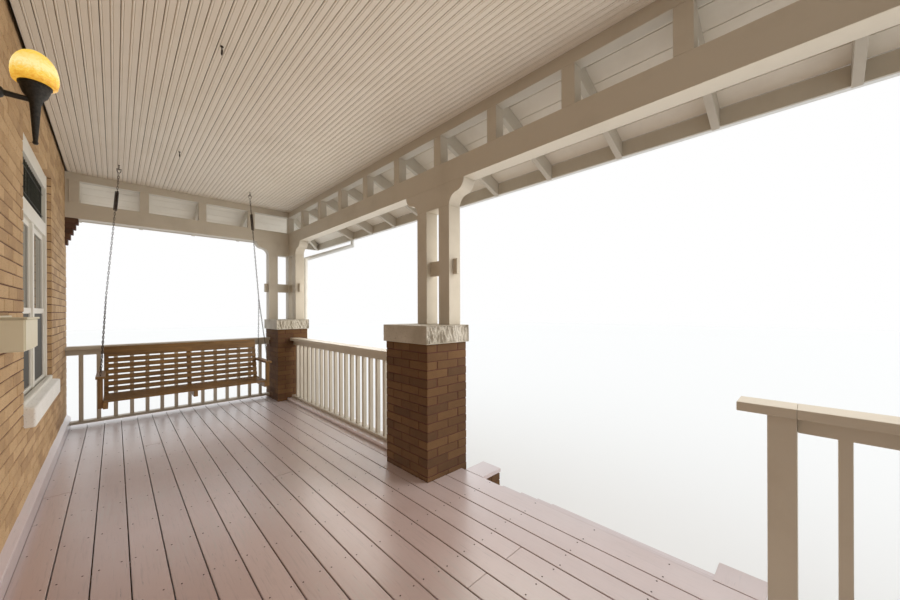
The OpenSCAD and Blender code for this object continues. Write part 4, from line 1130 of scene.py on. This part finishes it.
def turned(bm, profile, centre, steps=40):
    """A body turned about an upright axis, from its profile as (radius, height)."""
    line = [bm.verts.new((centre[0] + r, centre[1], centre[2] + h)) for r, h in profile]
    edges = [bm.edges.new(pair) for pair in zip(line, line[1:])]
    bmesh.ops.spin(bm, geom=line + edges, axis=(0, 0, 1), cent=centre, steps=steps, angle=2 * math.pi)
    bmesh.ops.remove_doubles(bm, verts=bm.verts, dist=2e-5)


shade_lo, shade_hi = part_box("lamp_shade")
cup_drop, arm_drop = 0.020, 0.082
torch = Vector(((shade_lo.x + shade_hi.x) / 2, (shade_lo.y + shade_hi.y) / 2, shade_lo.z - cup_drop))
arm_h = shade_lo.z - arm_drop
cup = [(0.0, -0.237), (0.006, -0.235), (0.009, -0.229), (0.0065, -0.222), (0.0075, -0.214), (0.016, -0.076),
       (0.020, -0.068), (0.021, -0.058), (0.034, -0.040), (0.041, -0.018), (0.043, -0.007), (0.047, -0.005),
       (0.047, 0.001), (0.042, 0.001), (0.036, -0.012), (0.0, -0.020)]
arm = [(slit, 0.052), (0.010, 0.052), (0.014, 0.044), (0.018, 0.014), (0.030, 0.011), (0.062, 0.011),
       (0.066, 0.018), (0.074, 0.023), (0.084, 0.024), (0.094, 0.023), (0.102, 0.018), (0.106, 0.011),
       (0.150, 0.010), (0.186, 0.009)]
bm = bmesh.new()
turned(bm, cup, torch)
rod(bm, [(torch.x, wall_face - proud - out, arm_h) for out, _ in arm], [r for _, r in arm], sides=24)
iron, tree, shader = finish("black_iron", roughness=0.5, metallic=0.4)
hammered = noise_at(tree, here(tree), 120.0, 3.0)
blacking = ramp(tree, hammered, [(0.3, (0.014, 0.013, 0.011)), (0.7, (0.040, 0.034, 0.028))])
coat_with(tree, shader, blacking, hammered, 0.4, 0.001)
piece("torch_bracket", bm, iron, ["lamp_bracket"], smooth=35)

# The glass, with moulded rings that fade out up its side, glowing with painted light: deep orange at its foot
# and palest part way up
glass_h, ring_pitch, ring_deep, ringed, levels = 0.130, 0.0095, 0.0011, 0.060, 78
dome = [(0.0, 0.0600), (0.02, 0.0645), (0.036, 0.0655), (0.056, 0.0640), (0.078, 0.0585), (0.096, 0.0500),
        (0.112, 0.0380), (0.123, 0.0230), (0.129, 0.0100), (0.130, 0.0)]
shell = [(0.0, 0.004), (0.050, 0.0045)]
for i in range(levels):
    h = glass_h * (i / levels) ** 0.9
    low = max(k for k in range(len(dome) - 1) if dome[k][0] <= h + 1e-9)
    (h0, r0), (h1, r1) = dome[low], dome[low + 1]
    ripple = ring_deep * math.sin(2 * math.pi * h / ring_pitch) * max(0.0, 1 - h / ringed)
    shell.append((max(0.0, r0 + (r1 - r0) * (h - h0) / (h1 - h0) + ripple), 0.005 + h))
shell.append((0.0, 0.005 + glass_h))
bm = bmesh.new()
turned(bm, shell, torch, steps=56)
amber, tree, shader = finish("amber_glass", roughness=0.18, color=(0.42, 0.24, 0.03))
place = here(tree)
ripples = noise_at(tree, place, 55.0, 4.0, warp=1.5)
# Painted light: the glow's colour is set by height on the glass, brightest part way up
lit = remap(tree, axis_of(tree, place, "Z"), torch.z, torch.z + 0.150)
glow = ramp(tree, maths(tree, "MULTIPLY_ADD", ripples, 0.45, lit), [
    (0.18, (0.60, 0.25, 0.016)), (0.42, (0.96, 0.62, 0.10)), (0.62, (1.0, 0.92, 0.45)),
    (0.95, (0.94, 0.66, 0.10))])
relief = add(tree, "ShaderNodeBump", {"Height": ripples, "Strength": 0.5, "Distance": 0.002})
tree.links.new(relief.outputs[0], shader.inputs["Normal"])
tree.links.new(glow, shader.inputs["Emission Color"])
shader.inputs["Emission Strength"].default_value = 0.85
piece("torch_glass", bm, amber, ["lamp_shade"], smooth=60)


# Porch swing
# A slatted bench of brown stained timber, screwed together, hung on four chains that run up to
# two coil springs and two eye bolts in the ceiling.

stain, dark_stain = (0.27, 0.145, 0.042), (0.095, 0.048, 0.014)
swing_x, swing_d, seat_w, seat_h, seat_depth, back_reach = 2.940, 1.096, 1.544, 0.430, 0.480, 0.184
back_h, lean, slat_t, slat_w = 0.940, math.radians(13), 0.018, 0.049
top_board, back_foot, seat_slats, back_slats = 0.115, 0.015, 8, 6


def at(x, d, h):
    """A point from its place along the porch, out from the wall and above the deck."""
    return Vector((x, wall_face - d, deck_top + h))


# Eight seat slats, and a back of six slats under a wide top board, each with rounded arrises
near, far = wall_face - swing_d - seat_w / 2, wall_face - swing_d + seat_w / 2
seat_x, seat_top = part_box("swing_slats")[0].x, deck_top + seat_h
bm = bmesh.new()
for i in range(seat_slats):
    x0 = seat_x + i * (seat_depth - slat_w - 0.006) / (seat_slats - 1)
    bar(bm, (x0, near, seat_top - slat_t + slit), (x0 + slat_w, far, seat_top), edge=0.004, steps=2)
back_len = (back_h - seat_h) / math.cos(lean)
back_pitch = (back_len - top_board - back_foot) / back_slats
upright = bmesh.new()
for foot_at, width in [(back_foot + i * back_pitch, slat_w) for i in range(back_slats)] + [
        (back_len - top_board, top_board)]:
    bar(upright, (-slat_t - slit, near, foot_at), (-slit, far, foot_at + width), edge=0.004, steps=2)
leant = Matrix.Translation((swing_x + back_reach, 0, seat_top)) @ Matrix.Rotation(lean, 4, "Y")
bmesh.ops.transform(upright, verts=upright.verts, matrix=leant)
bm.from_mesh(mesh_of("leaning_slats", upright))
piece("swing_boards", bm, wood_finish("stained_slats", stain, dark_stain, 1), ["swing_slats"],
      body="swing")
eased_copy("swing_frame", wood_finish("stained_frame", stain, dark_stain, 2), edge=0.003)

# Chain of welded links, a coil spring in each, and the shackle that hangs on the ceiling's eye bolt
steel, tree, shader = finish("dull_steel", roughness=0.45, metallic=0.8)
tarnish = noise_at(tree, here(tree), 45.0, 4.0)
coat_with(tree, shader, ramp(tree, tarnish, [(0.35, (0.045, 0.030, 0.020)), (0.65, (0.105, 0.090, 0.078))]))
hook_half, split_half, pivot_h, split_h = 0.645, 0.750, 2.9103, 1.504
shackle_h, shackle_half, spring_drop, spring_len = 0.048, 0.016, 0.253, 0.208
arm_top, arm_mid = 0.680, seat_w / 2 + 0.019
lugs_x = (swing_x + back_reach - seat_depth + 0.070, swing_x + back_reach + 0.010)
link_wire, link_half, link_pitch, link_bend = 0.0024, 0.0165, 0.0275, 0.0055
coil_turns, coil_r, coil_wire, tail_wire, ring_r, ring_wire = 27, 0.0150, 0.0030, 0.0028, 0.009, 0.0026
runs = []
bm = bmesh.new()
for side in (-1, 1):
    foot = at(swing_x, swing_d + side * hook_half, pivot_h - shackle_h)
    fork = at(swing_x, swing_d + side * split_half, split_h)
    down = (fork - foot).normalized()
    spring_top = foot + down * (spring_drop - shackle_h)
    spring_foot = spring_top + down * spring_len
    runs += [(foot, spring_top), (spring_foot, fork)]
    runs += [(fork, at(x, swing_d + side * arm_mid, arm_top + 0.014)) for x in lugs_x]
    across = down.orthogonal().normalized()
    third = down.cross(across)
    coil = []
    for k in range(coil_turns * 12 + 1):
        a = k * math.pi / 6
        coil.append(spring_top + down * (spring_len * k / (coil_turns * 12))
                    + (across * math.cos(a) + third * math.sin(a)) * coil_r)
    rod(bm, coil, coil_wire, sides=6)
    for end, onward in ((coil[0], -down), (coil[-1], down)):
        to_axis = spring_top - end - down * down.dot(spring_top - end)
        rod(bm, [end, end + onward * 0.004, end + to_axis * 0.9 + onward * 0.010], tail_wire, sides=6)
    bow = [(-shackle_half, shackle_h), (-shackle_half, 0.028), (-0.011, 0.012), (0.0, 0.003), (0.011, 0.012),
           (shackle_half, 0.028), (shackle_half, shackle_h)]
    rod(bm, [foot + Vector((0, y, z)) for y, z in bow], coil_wire)
    rod(bm, [foot + Vector((0, y, shackle_h)) for y in (-0.021, 0.021)], coil_wire)
    full_turn = [math.pi * k / 5 for k in range(10)]
    ring = [fork + Vector((ring_r * math.cos(a), 0.0, ring_r * math.sin(a))) for a in full_turn]
    rod(bm, ring, ring_wire, sides=6, closed=True)
piece("springs_and_shackles", bm, steel, ["swing_chains"], body="swing", smooth=50)

bm = bmesh.new()
bend = [(link_bend * math.cos(a), link_half - link_bend + link_bend * math.sin(a)) for a in
        [math.pi * k / 4 for k in range(5)]]
oval = [(x, 0.0, z) for x, z in bend] + [(-x, 0.0, -z) for x, z in bend]
rod(bm, oval, link_wire, sides=5, closed=True)
chain_link = bpy.data.objects.new("pattern_link", mesh_of("pattern_link", bm))
link_places = []
for start, end in runs:
    along = (end - start).normalized()
    count = round((end - start).length / link_pitch)
    for k in range(count):
        turn = along.to_track_quat("Z", "Y") @ Quaternion((0, 0, 1), math.pi / 2 * (k % 2))
        link_places.append((start + (end - start) * (k + 0.5) / count, (1, 1, 1), tuple(turn.to_euler())))
lay("chain_links", chain_link, link_places, steel, seed=8, body="swing")

# The lugs that take the chains are screwed into the arms
bm = bmesh.new()
for side in (-1, 1):
    for x in lugs_x:
        foot, plate, tip = [at(x, swing_d + side * arm_mid, arm_top + h) for h in (slit, 0.003, 0.010)]
        rod(bm, [foot, plate], 0.011, sides=12)
        rod(bm, [plate, tip], 0.004)
piece("arm_lugs", bm, steel, body="swing", smooth=35)


# Ceiling hooks
# Four eye bolts of bent wire screwed up into the ceiling, each through a small round plate: two
# closed eyes that carry the swing, and two spare hooks left open.

eye_r, eye_wire, eye_drop, plate_under, plate_r = 0.016, 0.0040, 0.034, 2.953, 0.0095
spare_hooks, spare_d = (0.147, 2.079), 0.890
hooks = [(swing_x, swing_d + side * hook_half, False) for side in (-1, 1)]
hooks += [(x, spare_d, True) for x in spare_hooks]
bm = bmesh.new()
for x, d, opened in hooks:
    eye_at = at(x, d, plate_under - eye_drop)
    sweep, points, wire = (1.62, 21, eye_wire * 0.8) if opened else (2.0, 20, eye_wire)
    ring = [sweep * math.pi * k / 20 for k in range(points)]
    rod(bm, [eye_at + Vector((eye_r * math.sin(a), 0.0, eye_r * math.cos(a))) for a in ring], wire,
        closed=not opened)
    rod(bm, [eye_at + Vector((0, 0, eye_r)), at(x, d, plate_under + 0.001)], eye_wire * 0.9)
    rod(bm, [at(x, d, plate_under - 0.0035), at(x, d, plate_under - slit)], plate_r, sides=12)
piece("eye_bolts", bm, steel, ["ceiling_hooks"], smooth=50)


# Studio
# A plain pale floor under a plain white sky, a broad soft key and a fill from the street side, and
# two warm panels that stand in for the light thrown back between the deck, the wall and the ceiling.

bm = bmesh.new()
bmesh.ops.create_grid(bm, x_segments=1, y_segments=1, size=60.0)
floor_mesh = mesh_of("studio_floor", bm)
floor_mesh.materials.append(finish("studio_floor", roughness=0.9, color=(0.87, 0.87, 0.86))[0])
floor = link(bpy.data.objects.new("studio_floor", floor_mesh))
floor.location.z = -0.001

world = bpy.data.worlds.new("studio_sky")
scene.world = world
world.use_nodes = True
tree = world.node_tree
tree.nodes.clear()
rays = add(tree, "ShaderNodeLightPath").outputs
seen = maths(tree, "MAXIMUM", rays["Is Camera Ray"], rays["Is Glossy Ray"])
seen = maths(tree, "MAXIMUM", seen, rays["Is Transmission Ray"])
sky_light = add(tree, "ShaderNodeBackground", {"Color": (0.96, 0.98, 1.0, 1), "Strength": 0.95})
sky_seen = add(tree, "ShaderNodeBackground", {"Color": (1.0, 1.0, 1.0, 1), "Strength": 1.0})
either = add(tree, "ShaderNodeMixShader", {0: seen, 1: sky_light.outputs[0], 2: sky_seen.outputs[0]})
add(tree, "ShaderNodeOutputWorld", {"Surface": either.outputs[0]})


def light(name, kind, place, target, strength, color, **settings):
    """A lamp at a place, turned towards a target."""
    data = bpy.data.lights.new(name, kind)
    data.energy, data.color = strength, color
    for key, value in settings.items():
        setattr(data, key, value)
    obj = link(bpy.data.objects.new(name, data))
    obj.location = place
    obj.rotation_mode = "QUATERNION"
    obj.rotation_quaternion = (Vector(target) - Vector(place)).to_track_quat("-Z", "Y")
    return obj


middle = (0.0, -1.5, 1.2)
warm = (1.0, 0.91, 0.76)
light("key", "SUN", (-9.0, -12.0, 9.0), middle, 1.0, (1.0, 0.97, 0.92), angle=math.radians(28))
light("fill", "SUN", (12.0, -9.0, 7.0), middle, 0.35, (0.95, 0.97, 1.0), angle=math.radians(28))
room_h = deck_top + 1.5
for name, place, target, watts, wide, tall in (
        ("wall_panel", (0.0, pier_lo.y - 0.1, room_h), (0.0, 0.0, room_h), 30.0, 6.6, 1.5),
        ("ceiling_panel", (0.0, -1.4, deck_top + 0.01), (0.0, -1.4, room_h), 14.0, 6.4, 2.0)):
    panel = light(name, "AREA", place, target, watts, warm, shape="RECTANGLE", size=wide, size_y=tall)
    panel.visible_camera = False
